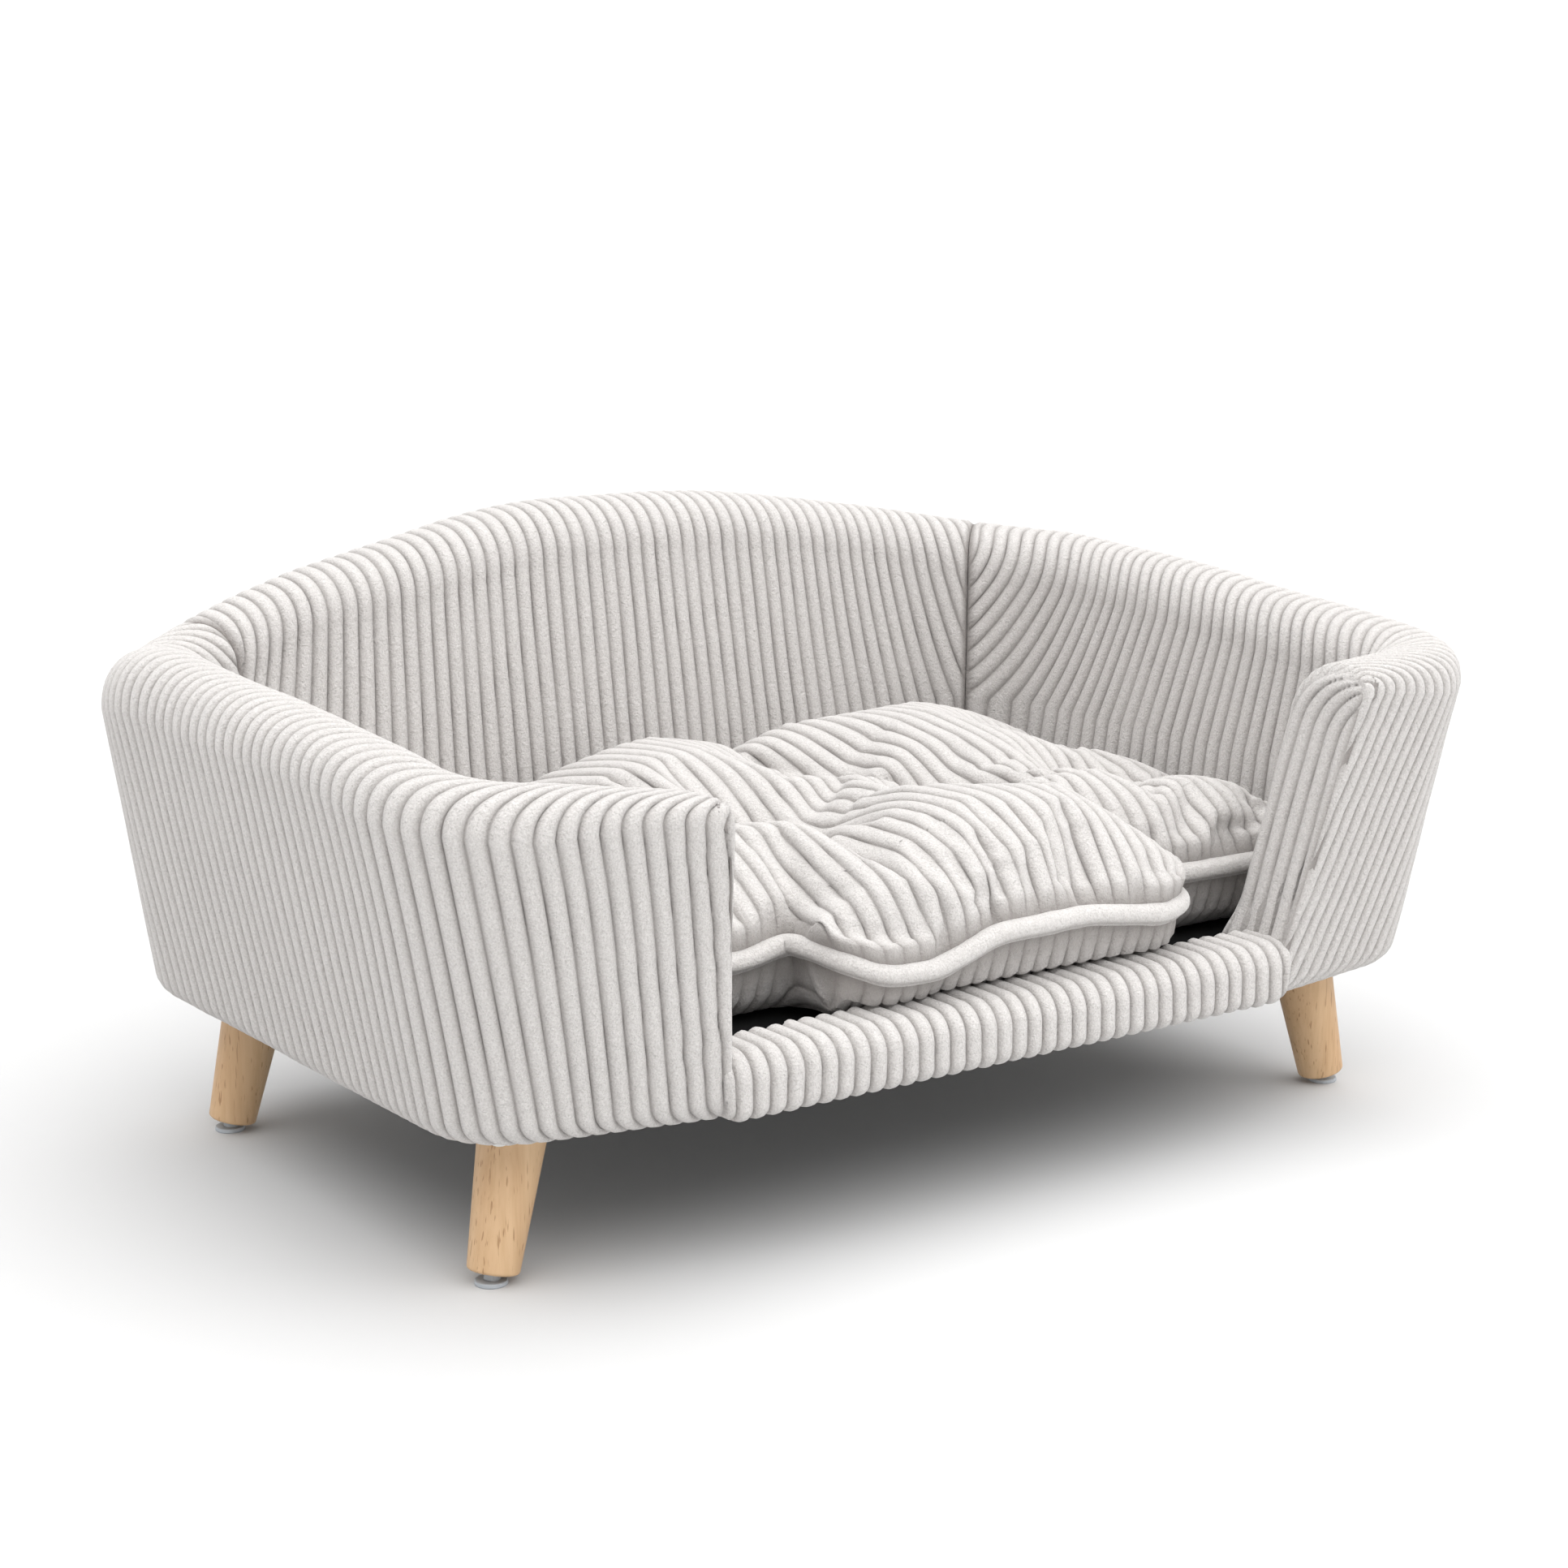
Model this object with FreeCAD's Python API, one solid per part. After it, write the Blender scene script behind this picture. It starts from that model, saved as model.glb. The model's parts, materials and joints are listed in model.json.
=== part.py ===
import FreeCAD, Part
import math
import os
from FreeCAD import Vector

# Upholstered pet sofa: a low body on four splayed legs, a wall on three
# sides with two short front wings, an open front with a padded rail, and a
# loose T-shaped seat cushion.  Millimetres, +Z up, +Y to the back, +X to
# the right; z = 0 is the floor.  Geometry is laid out with y = 0 on the
# rail's front face and moved to the middle of the depth on export.

os.makedirs("parts", exist_ok=True)

# ---------------------------------------------------------------- sizes
ORIGIN_Y = 243.1          # rail face to the middle of the overall depth
BODY_Z = 87.0             # underside of the upholstered body
HALF_WIDTH = 342.0        # outer half width at the underside
REAR_Y = 456.0            # back face at the underside
OPENING_HALF = 196.0      # half width of the entry at the underside
LEAN_RIGHT = 0.19         # the entry's right side leans this much per mm
LEAN_LEFT = 0.115         # the left side stands more upright
WING_Y = 8.0              # front wing face beside the entry
WING_SLOPE = 0.163        # the wing faces run back toward the corners
FLARE = 0.21              # outward lean of every wall, mm per mm
FRONT_RADIUS = 52.0       # plan radius of the front corners, underside
REAR_RADIUS = 68.0        # plan radius of the rear corners, underside
REAR_GROWTH = 0.22        # extra growth of the rear radius with height
WALL_LOW = 50.0           # wall thickness at the underside
WALL_HIGH = 62.0          # wall thickness at the top of the back
WING_TOP = 270.0          # height of the front wings
ARM_RISE = 41.0           # the arms climb this much toward the back
CORNER_TOP = 309.0        # height of the rear corners
BACK_TOP = 357.0          # height of the back's middle
CROWN = 24.0              # rise of the rounded top edge
SKIN = 2.5                # corduroy thickness
GAP = 0.3                 # clearance between neighbouring pieces

BOARD_LOW = 88.0
BOARD_HIGH = 104.0        # top face of the plywood base board
BOARD_INSET = 14.0        # the padding wraps round the board's edge
RAIL_BOARD_Y = 4.0        # the board's front edge behind the rail's face
HEM = 1.0                 # cloth turned under the board
CUT_LOW = 60.0            # cutting blocks run from here
CUT_HIGH = 400.0          # up to here, past every piece
CORE_INSET = 15.0         # outer face of the wall panels
CORE_THICK = 10.0
CORE_DROP = 20.0          # padding above the wall panels
CORE_SINK = 6.0           # the padding's slit runs past the board's top
BATTEN_WIDE = 18.0
BATTEN_HIGH = 118.0       # top of the battens
CORNER_SEAM_X = 222.0     # start of the rear corner seams
CORNER_SEAM_Y = 350.0
SEAM_WIDE = 0.4

RAIL_TOP = 122.0
RAIL_DEEP = 38.0
RAIL_ROUND = 15.0

DECK_LOW = 104.3
DECK_THICK = 1.0
DUST_LOW = 86.2
DUST_THICK = 0.8

LEG_X = 306.0             # foot centre, sideways
LEG_FRONT_Y = 72.0
LEG_REAR_Y = 387.0
LEG_FOOT_Z = 6.4          # middle of the foot's end face
LEG_FOOT_RADIUS = 14.3
LEG_TOP_RADIUS = 19.0
LEG_TOP_Z = 83.4
LEG_SPLAY_SIDE = math.tan(math.radians(12.5))
LEG_SPLAY_DEPTH = math.tan(math.radians(3.5))
PLATE_SIDE = 56.0
PLATE_THICK = 2.5
BOLT_RADIUS = 4.0

CUSHION_LOW = 105.7
CUSHION_SEAM_Z = 150.0    # height of the piped seam
CUSHION_HIGH = 200.0
CUSHION_HALF = 284.0
CUSHION_REAR_Y = 400.0
CUSHION_SHOULDER_Y = 84.0
TONGUE_HALF = 148.0
TONGUE_Y = 22.0
PIPING_RADIUS = 5.5
TUFT_ROWS = [(178.0, (-180.0, -60.0, 60.0, 180.0)), (300.0, (-120.0, 0.0, 120.0))]
TIE_RADIUS = 0.9


# ------------------------------------------------------------- helpers
def export(name, shape):
    """Move a finished piece to the part's own origin and write it."""
    moved = shape.copy()
    moved.translate(Vector(0.0, -ORIGIN_Y, 0.0))
    moved.exportStep("parts/" + name + ".step")


def box(x0, x1, y0, y1, z0, z1):
    return Part.makeBox(x1 - x0, y1 - y0, z1 - z0, Vector(x0, y0, z0))


def largest(shape):
    return max(shape.Solids, key=lambda solid: solid.Volume)


def wall_thickness(z):
    return WALL_LOW + (WALL_HIGH - WALL_LOW) * (z - BODY_Z) / (BACK_TOP - BODY_Z)


def smooth(value):
    value = min(max(value, 0.0), 1.0)
    return value * value * (3.0 - 2.0 * value)


def crest_height(x, y):
    """Height of the top edge above a point of the wall's middle line."""
    along = min(max((y + 20.0) / 460.0, 0.0), 1.0)
    arm = WING_TOP + ARM_RISE * math.sin(0.5 * math.pi * along)
    arch = max(math.cos(0.5 * math.pi * min(abs(x) / 345.0, 1.0)), 0.0)
    back = CORNER_TOP + (BACK_TOP - CORNER_TOP) * arch ** 1.3
    blend = smooth((y - 330.0) / 110.0)
    return arm * (1.0 - blend) + back * blend


# ------------------------------------------- plan of the three-sided wall
def half_stations(inset, z):
    """Plan points of the wall at height z, right wing end to mid back."""
    lift = z - BODY_Z
    grow = lift * FLARE - inset
    norm = math.hypot(1.0, WING_SLOPE)
    wing_x = OPENING_HALF + grow * WING_SLOPE / norm
    wing_y = WING_Y - grow / norm
    side_x = HALF_WIDTH + grow
    back_y = REAR_Y + grow
    front_r = max(FRONT_RADIUS + grow, 6.0)
    rear_r = max(REAR_RADIUS + grow + lift * REAR_GROWTH, 12.0)
    front_cx = side_x - front_r
    front_cy = wing_y + WING_SLOPE * (front_cx - wing_x) + front_r * norm
    start_angle = math.atan2(-1.0, WING_SLOPE)
    tangent_x = front_cx + front_r * math.cos(start_angle)
    points = []
    start_x = OPENING_HALF - 46.0
    for step in range(3):
        x = start_x + (tangent_x - start_x) * step / 3.0
        points.append((x, wing_y + WING_SLOPE * (x - wing_x)))
    for step in range(6):
        angle = start_angle * (1.0 - step / 5.0)
        x = front_cx + front_r * math.cos(angle)
        points.append((x, front_cy + front_r * math.sin(angle)))
    rear_cy = back_y - rear_r
    for step in range(1, 4):
        y = front_cy + (rear_cy - front_cy) * step / 4.0
        points.append((side_x, y))
    for step in range(8):
        angle = 0.5 * math.pi * step / 7.0
        x = side_x - rear_r + rear_r * math.cos(angle)
        points.append((x, rear_cy + rear_r * math.sin(angle)))
    back_x = side_x - rear_r
    for step in range(1, 4):
        points.append((back_x * (1.0 - step / 4.0), back_y))
    return points, back_y


def stations(inset, z):
    """Plan points right round the wall, right wing end to left wing end."""
    right, back_y = half_stations(inset, z)
    left = [(-x, y) for x, y in reversed(right)]
    return right + [(0.0, back_y)] + left


def raised(points, z):
    return [Vector(x, y, z) for x, y in points]


def crest_list():
    """Crest height at every station."""
    outer = stations(0.0, 290.0)
    inner = stations(wall_thickness(290.0), 290.0)
    result = []
    for (ax, ay), (bx, by) in zip(outer, inner):
        result.append(crest_height(0.5 * (ax + bx), 0.5 * (ay + by)))
    return result


CRESTS = crest_list()


def wall_point(index, inset, z):
    x, y = stations(inset, z)[index]
    return Vector(x, y, z)


def padded_section(index, skin, low):
    """Closed section of the padded wall, set inside by skin."""
    spring = CRESTS[index] - CROWN
    thick_low = wall_thickness(low)
    thick_spring = wall_thickness(spring)
    outer_low = wall_point(index, skin, low)
    outer_top = wall_point(index, skin, spring)
    inner_low = wall_point(index, thick_low - skin, low)
    inner_top = wall_point(index, thick_spring - skin, spring)
    middle = (outer_top + inner_top) * 0.5
    half = (outer_top - inner_top) * 0.5
    crown = []
    for step in range(9):
        angle = math.pi * step / 8.0
        point = middle + half * math.cos(angle)
        crown.append(point + Vector(0.0, 0.0, (CROWN - skin) * math.sin(angle)))
    curve = Part.BSplineCurve()
    curve.interpolate(crown)
    edges = [Part.makeLine(outer_low, outer_top), curve.toShape()]
    edges.append(Part.makeLine(inner_top, inner_low))
    edges.append(Part.makeLine(inner_low, outer_low))
    return Part.Wire(edges)


def panel_section(index, inset_out, inset_in, low, high):
    """Four-sided section of a panel or batten standing in the wall."""
    corners = [wall_point(index, inset_out, low), wall_point(index, inset_out, high)]
    corners.append(wall_point(index, inset_in, high))
    corners.append(wall_point(index, inset_in, low))
    corners.append(corners[0])
    return Part.makePolygon(corners)


def loft(sections):
    return Part.makeLoft(sections, True, True)


def padded_wall(skin, low):
    return loft([padded_section(i, skin, low) for i in range(len(CRESTS))])


def panel_wall(inset_out, inset_in, low, drop):
    sections = []
    for index, crest in enumerate(CRESTS):
        sections.append(panel_section(index, inset_out, inset_in, low, crest - drop))
    return loft(sections)


def batten_wall(inset_out, inset_in, low, high):
    sections = []
    for index in range(len(CRESTS)):
        sections.append(panel_section(index, inset_out, inset_in, low, high))
    return loft(sections)


def plan_wire(inset, z):
    """Closed plan outline at height z, straight across the entry."""
    points = raised(stations(inset, z), z)
    return Part.makePolygon(points + [points[0]])


def flared_block(inset, z0, z1):
    """Solid filling the whole plan between two heights."""
    return Part.makeLoft([plan_wire(inset, z0), plan_wire(inset, z1)], True, True)


def entry_prism(grow):
    """The open front: a leaning prism between the two wing ends."""
    z0 = BODY_Z - 30.0
    z1 = BACK_TOP + 30.0
    half = OPENING_HALF + grow
    y0 = -140.0
    corners = [Vector(-half - (z0 - BODY_Z) * LEAN_LEFT, y0, z0)]
    corners.append(Vector(half + (z0 - BODY_Z) * LEAN_RIGHT, y0, z0))
    corners.append(Vector(half + (z1 - BODY_Z) * LEAN_RIGHT, y0, z1))
    corners.append(Vector(-half - (z1 - BODY_Z) * LEAN_LEFT, y0, z1))
    corners.append(corners[0])
    face = Part.Face(Part.makePolygon(corners))
    return face.extrude(Vector(0.0, 290.0, 0.0))


def corner_cutters(width):
    """Thin upright slabs along the two rear corner seams."""
    slabs = []
    for side in (1.0, -1.0):
        slab = box(0.0, 260.0, -0.5 * width, 0.5 * width, CUT_LOW, CUT_HIGH)
        angle = 45.0 if side > 0.0 else 135.0
        slab.rotate(Vector(0, 0, 0), Vector(0, 0, 1), angle)
        slab.translate(Vector(side * CORNER_SEAM_X, CORNER_SEAM_Y, 0.0))
        slabs.append(slab)
    return Part.makeCompound(slabs)


def split_three(shape):
    """Back, left and right pieces of a wall cut at its corner seams."""
    pieces = sorted(shape.Solids, key=lambda solid: solid.CenterOfMass.x)
    return pieces[len(pieces) // 2], pieces[0], pieces[-1]


# ------------------------------------------------------------ fasteners
def wood_screw(tip, direction, length, radius, head_radius, head_thick):
    """Plain screw, head end given by the tip minus the length."""
    start = tip - direction * length
    shank = Part.makeCylinder(radius, length, start, direction)
    head = Part.makeCylinder(head_radius, head_thick, start - direction * head_thick, direction)
    return shank.fuse(head)


def base_screw_points():
    inset = CORE_INSET + CORE_THICK + 0.5 * BATTEN_WIDE
    grow = (BOARD_HIGH - BODY_Z) * FLARE - inset
    points = []
    for side in (-1.0, 1.0):
        for y in (130.0, 230.0, 330.0):
            points.append((side * (HALF_WIDTH + grow), y))
        norm = math.hypot(1.0, WING_SLOPE)
        wing_y = WING_Y - grow / norm + WING_SLOPE * (250.0 - OPENING_HALF)
        points.append((side * 250.0, wing_y + 1.0))
    for x in (-180.0, -60.0, 60.0, 180.0):
        points.append((x, REAR_Y + grow))
    for x in (-130.0, 0.0, 130.0):
        points.append((x, 20.0))
    return points


def base_screws():
    screws = []
    for x, y in base_screw_points():
        tip = Vector(x, y, BATTEN_HIGH - 4.0)
        length = tip.z - BOARD_LOW - 2.4
        screws.append(wood_screw(tip, Vector(0, 0, 1), length, 1.75, 3.6, 2.0))
    return screws


def core_screws(extra):
    """Level screws through the wall panels into the battens."""
    z = 111.0
    grow = (z - BODY_Z) * FLARE - CORE_INSET
    screws = []
    for side in (-1.0, 1.0):
        for y in (105.0, 180.0, 280.0):
            face = side * (HALF_WIDTH + grow + 0.8)
            tip = Vector(face - side * 22.0, y, z)
            screws.append(wood_screw(tip, Vector(-side, 0, 0), 22.0, 1.6 + extra, 3.0 + extra, 1.5))
    for x in (-210.0, -120.0, 0.0, 120.0, 210.0):
        tip = Vector(x, REAR_Y + grow + 0.8 - 22.0, z)
        screws.append(wood_screw(tip, Vector(0, -1, 0), 22.0, 1.6 + extra, 3.0 + extra, 1.5))
    return screws


def staple_points():
    points = []
    inset = 24.0
    for side in (-1.0, 1.0):
        for step in range(6):
            points.append((side * (HALF_WIDTH - inset), 108.0 + 48.0 * step, 90.0))
    for step in range(9):
        points.append((-240.0 + 60.0 * step, REAR_Y - inset, 0.0))
    for step in range(6):
        points.append((-150.0 + 60.0 * step, 24.0, 0.0))
    return points


def staples():
    """Wire staples that hold the dust cover and the cover hems."""
    result = []
    for x, y, turn in staple_points():
        crown = box(-5.0, 5.0, -0.4, 0.4, DUST_LOW - 0.5, DUST_LOW)
        leg_a = box(-5.0, -4.3, -0.4, 0.4, DUST_LOW, BOARD_LOW + 5.0)
        leg_b = box(4.3, 5.0, -0.4, 0.4, DUST_LOW, BOARD_LOW + 5.0)
        staple = crown.fuse([leg_a, leg_b])
        staple.rotate(Vector(0, 0, 0), Vector(0, 0, 1), turn)
        staple.translate(Vector(x, y, 0.0))
        result.append(staple)
    return result


# ------------------------------------------------------------------ legs
LEG_SPOTS = {
    "front_left": (-1.0, -1.0, LEG_FRONT_Y),
    "front_right": (1.0, -1.0, LEG_FRONT_Y),
    "rear_left": (-1.0, 1.0, LEG_REAR_Y),
    "rear_right": (1.0, 1.0, LEG_REAR_Y),
}


def leg_axis(spot):
    side, end, y = LEG_SPOTS[spot]
    foot = Vector(side * LEG_X, y, LEG_FOOT_Z)
    direction = Vector(-side * LEG_SPLAY_SIDE, -end * LEG_SPLAY_DEPTH, 1.0)
    direction.normalize()
    return foot, direction


def at_height(spot, z):
    """Point of the leg's axis at a height."""
    foot, direction = leg_axis(spot)
    return foot + direction * ((z - foot.z) / direction.z)


def leg_blank(spot):
    foot, direction = leg_axis(spot)
    length = (at_height(spot, LEG_TOP_Z) - foot).Length + 8.0
    top_radius = LEG_FOOT_RADIUS + (LEG_TOP_RADIUS - LEG_FOOT_RADIUS) * length / (length - 8.0)
    cone = Part.makeCone(LEG_FOOT_RADIUS, top_radius, length, foot, direction)
    rims = [edge for edge in cone.Edges if abs(edge.Length - 2.0 * math.pi * LEG_FOOT_RADIUS) < 0.5]
    cone = cone.makeFillet(2.0, rims)
    return cone.common(box(-500.0, 500.0, -200.0, 700.0, -50.0, LEG_TOP_Z))


def glide(spot):
    """Swivel glide: flat disc on the floor, neck and nail in the leg."""
    foot, direction = leg_axis(spot)
    pad_centre = foot - direction * (foot.z / direction.z)
    pad = Part.makeCylinder(9.0, 2.6, Vector(pad_centre.x, pad_centre.y, 0.0))
    pad = pad.makeFillet(0.8, [pad.Edges[0], pad.Edges[2]])
    neck = Part.makeCylinder(4.5, (foot.z - 2.0) / direction.z, at_height(spot, 2.0), direction)
    nail = Part.makeCylinder(1.6, 16.0, foot - direction * 0.5, direction)
    return pad.fuse([neck, nail]).common(box(-500, 500, -200, 700, 0.0, 60.0))


def hanger_bolt(spot):
    foot, direction = leg_axis(spot)
    start = at_height(spot, LEG_TOP_Z) - direction * 28.0
    return Part.makeCylinder(BOLT_RADIUS, 28.0 + 13.0, start, direction)


def leg_plate(spot):
    centre = at_height(spot, LEG_TOP_Z + 1.4)
    half = 0.5 * PLATE_SIDE
    z0 = DUST_LOW - PLATE_THICK
    plate = box(-half, half, -half, half, z0, DUST_LOW)
    corners = [e for e in plate.Edges if abs(e.Length - PLATE_THICK) < 0.01]
    plate = plate.makeFillet(6.0, corners)
    plate.translate(Vector(centre.x, centre.y, 0.0))
    direction = leg_axis(spot)[1]
    nut = Part.makeCylinder(7.5, 9.0, at_height(spot, DUST_LOW - 0.5), direction)
    return plate.fuse(nut).cut(hanger_bolt(spot)).cut(Part.makeCompound(plate_screws(spot)))


def plate_hole(spot):
    """Clearance for the plate's raised nut."""
    return Part.makeCylinder(10.0, 22.0, at_height(spot, DUST_LOW - 1.5), leg_axis(spot)[1])


def plate_screws(spot):
    centre = at_height(spot, LEG_TOP_Z + 1.4)
    reach = 0.5 * PLATE_SIDE - 6.5
    screws = []
    for dx in (-reach, reach):
        for dy in (-reach, reach):
            tip = Vector(centre.x + dx, centre.y + dy, BOARD_HIGH - 3.0)
            length = tip.z - (DUST_LOW - PLATE_THICK)
            screws.append(wood_screw(tip, Vector(0, 0, 1), length, 2.0, 3.8, 1.5))
    return screws


# --------------------------------------------------------------- cushion
def rounded_plan(corners, radii, z):
    """Closed outline with rounded corners, always two edges a corner."""
    edges = []
    arcs = []
    count = len(corners)
    for i in range(count):
        here = Vector(corners[i][0], corners[i][1], z)
        before = Vector(corners[i - 1][0], corners[i - 1][1], z)
        after = Vector(corners[(i + 1) % count][0], corners[(i + 1) % count][1], z)
        to_before = (before - here).normalize()
        to_after = (after - here).normalize()
        radius = radii[i]
        bisector = (to_before + to_after).normalize()
        centre = here + bisector * (radius * math.sqrt(2.0))
        arcs.append((here + to_before * radius, centre - bisector * radius, here + to_after * radius))
    for i in range(count):
        start, middle, end = arcs[i]
        edges.append(Part.Arc(start, middle, end).toShape())
        edges.append(Part.makeLine(end, arcs[(i + 1) % count][0]))
    return Part.Wire(edges)


def cushion_plan(inset, z):
    """T-shaped outline: a tongue toward the entry, shoulders behind it."""
    half = CUSHION_HALF - inset
    rear = CUSHION_REAR_Y - inset
    shoulder = CUSHION_SHOULDER_Y + inset
    tongue = TONGUE_HALF - inset
    nose = TONGUE_Y + inset
    corners = [(-tongue, nose), (tongue, nose), (tongue, shoulder), (half, shoulder)]
    corners += [(half, rear), (-half, rear), (-half, shoulder), (-tongue, shoulder)]
    room = shoulder - nose
    outer = max(36.0 - 0.45 * inset, 8.0)
    inner = 16.0
    nose_r = min(outer, room - inner - 1.0)
    radii = [nose_r, nose_r, inner, outer, outer, outer, outer, inner]
    return rounded_plan(corners, radii, z)


def cushion_body(skin):
    """Pillow shape, skin mm inside the cover's outer face."""
    levels = [(CUSHION_LOW + skin, 44.0), (116.0 + 0.9 * skin, 31.0), (128.0 + 0.6 * skin, 15.0)]
    levels += [(139.0, 4.0), (CUSHION_SEAM_Z, 0.0), (164.0, 3.0), (180.0 - 0.6 * skin, 13.0)]
    levels += [(193.0 - 0.9 * skin, 30.0), (CUSHION_HIGH - skin, 56.0)]
    sections = [cushion_plan(inset + skin, z) for z, inset in levels]
    return Part.makeLoft(sections, True, True)


def tuft_points():
    return [(x, y) for y, row in TUFT_ROWS for x in row]


def tie_rods():
    rods = []
    for x, y in tuft_points():
        low = Vector(x, y, CUSHION_LOW + 0.2)
        height = CUSHION_HIGH - CUSHION_LOW - 0.4
        rods.append(Part.makeCylinder(TIE_RADIUS, height, low))
    return rods


def piping():
    path = cushion_plan(-PIPING_RADIUS - 0.7, CUSHION_SEAM_Z)
    start = path.Edges[1].valueAt(path.Edges[1].FirstParameter)
    ahead = path.Edges[1].tangentAt(path.Edges[1].FirstParameter)
    ring = Part.Wire(Part.makeCircle(PIPING_RADIUS, start, ahead))
    spine = Part.Wire(path.Edges[1:] + path.Edges[:1])
    return spine.makePipeShell([ring], True, False)


# ---------------------------------------------------------------- build
tufts = Part.makeCompound(tie_rods())
base_screw_tool = Part.makeCompound(base_screws())
core_screw_tool = Part.makeCompound(core_screws(0.0))
staple_list = staples()
staple_tool = Part.makeCompound(staple_list)
all_plate_screws = []
for spot in LEG_SPOTS:
    all_plate_screws += plate_screws(spot)
plate_tool = Part.makeCompound(all_plate_screws)
plate_holes = Part.makeCompound([plate_hole(spot) for spot in LEG_SPOTS])
seams = corner_cutters(SEAM_WIDE)

# corduroy covers of the walls
outer_form = padded_wall(0.0, BODY_Z)
inner_form = padded_wall(SKIN, BODY_Z + HEM)
shell = outer_form.cut(inner_form)
shell = shell.cut(flared_block(SKIN, BODY_Z + HEM, BOARD_HIGH + GAP))
wing_ends = outer_form.cut(flared_block(SKIN, BODY_Z - 1.0, BOARD_HIGH + GAP))
wing_ends = wing_ends.cut(entry_prism(0.0)).common(entry_prism(SKIN))
shell = shell.cut(entry_prism(SKIN + GAP)).cut(seams)
shell = shell.cut(staple_tool).cut(plate_tool).cut(plate_holes)
cover_back, cover_left, cover_right = split_three(shell)
export("cover_back", cover_back)
export("cover_arm_left", cover_left)
export("cover_arm_right", cover_right)
ends = sorted(wing_ends.Solids, key=lambda solid: solid.CenterOfMass.x)
ends = [solid for solid in ends if solid.Volume > 2000.0]
export("cover_wing_end_left", ends[0])
export("cover_wing_end_right", ends[-1])

# wall panels, curved corner panels and battens
panels = panel_wall(CORE_INSET, CORE_INSET + CORE_THICK, BOARD_HIGH, CORE_DROP)
panels = panels.cut(entry_prism(SKIN + 6.0)).cut(core_screw_tool)
batten_out = CORE_INSET + CORE_THICK + 0.1
battens = batten_wall(batten_out, batten_out + BATTEN_WIDE, BOARD_HIGH, BATTEN_HIGH)
battens = battens.cut(core_screw_tool).cut(base_screw_tool)
side_zone = box(250.0, 420.0, 92.0, 300.0, CUT_LOW, CUT_HIGH)
side_zone_left = box(-420.0, -250.0, 92.0, 300.0, CUT_LOW, CUT_HIGH)
back_zone = box(-230.0, 230.0, 300.0, 560.0, CUT_LOW, CUT_HIGH)
wing_zone = box(120.0, 272.0, -60.0, 90.0, CUT_LOW, CUT_HIGH)
wing_zone_left = box(-272.0, -120.0, -60.0, 90.0, CUT_LOW, CUT_HIGH)
export("side_panel_right", largest(panels.common(side_zone)))
export("side_panel_left", largest(panels.common(side_zone_left)))
export("back_panel", largest(panels.common(back_zone)))
export("wing_panel_right", largest(panels.common(wing_zone)))
export("wing_panel_left", largest(panels.common(wing_zone_left)))
corner_zones = [
    box(272.4, 420.0, -60.0, 91.6, CUT_LOW, CUT_HIGH),
    box(-420.0, -272.4, -60.0, 91.6, CUT_LOW, CUT_HIGH),
    box(230.4, 420.0, 300.4, 560.0, CUT_LOW, CUT_HIGH),
    box(-420.0, -230.4, 300.4, 560.0, CUT_LOW, CUT_HIGH),
]
corner_panels = [largest(panels.common(zone)) for zone in corner_zones]
export("corner_panels", Part.makeCompound(corner_panels))
side_batten_zones = [
    box(250.0, 420.0, 96.0, 352.0, CUT_LOW, CUT_HIGH),
    box(-420.0, -250.0, 96.0, 352.0, CUT_LOW, CUT_HIGH),
]
wing_batten_zones = [
    box(214.0, 276.0, -60.0, 92.0, CUT_LOW, CUT_HIGH),
    box(-276.0, -214.0, -60.0, 92.0, CUT_LOW, CUT_HIGH),
]
export("side_battens", Part.makeCompound([largest(battens.common(z)) for z in side_batten_zones]))
export("wing_battens", Part.makeCompound([largest(battens.common(z)) for z in wing_batten_zones]))
back_batten_zone = box(-240.0, 240.0, 380.0, 560.0, CUT_LOW, CUT_HIGH)
export("back_batten", largest(battens.common(back_batten_zone)))
export("base_screws", Part.makeCompound(base_screws()))
export("panel_screws", Part.makeCompound(core_screws(0.0)))

# wall padding, slit for the panels and battens
padding = padded_wall(SKIN + GAP, BODY_Z + HEM + GAP)
padding = padding.cut(flared_block(BOARD_INSET - GAP, BODY_Z - 1.0, BOARD_HIGH + GAP))
slit_low = BOARD_HIGH - CORE_SINK
core_slot = panel_wall(CORE_INSET - GAP, CORE_INSET + CORE_THICK + GAP, slit_low, CORE_DROP - GAP)
slit_out = batten_out - 2.0
slit_in = batten_out + BATTEN_WIDE + GAP
batten_slot = batten_wall(slit_out, slit_in, slit_low, BATTEN_HIGH + GAP)
padding = padding.cut(core_slot).cut(batten_slot).cut(Part.makeCompound(core_screws(0.3)))
padding = padding.cut(entry_prism(SKIN + GAP + 0.2)).cut(seams)
pad_parts = [solid for solid in padding.Solids if solid.Volume > 1000.0]
pad_left = [solid for solid in pad_parts if solid.CenterOfMass.x < -200.0]
pad_right = [solid for solid in pad_parts if solid.CenterOfMass.x > 200.0]
pad_back = [solid for solid in pad_parts if abs(solid.CenterOfMass.x) <= 200.0]
export("padding_back", Part.makeCompound(pad_back))
export("padding_arm_left", Part.makeCompound(pad_left))
export("padding_arm_right", Part.makeCompound(pad_right))

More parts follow.
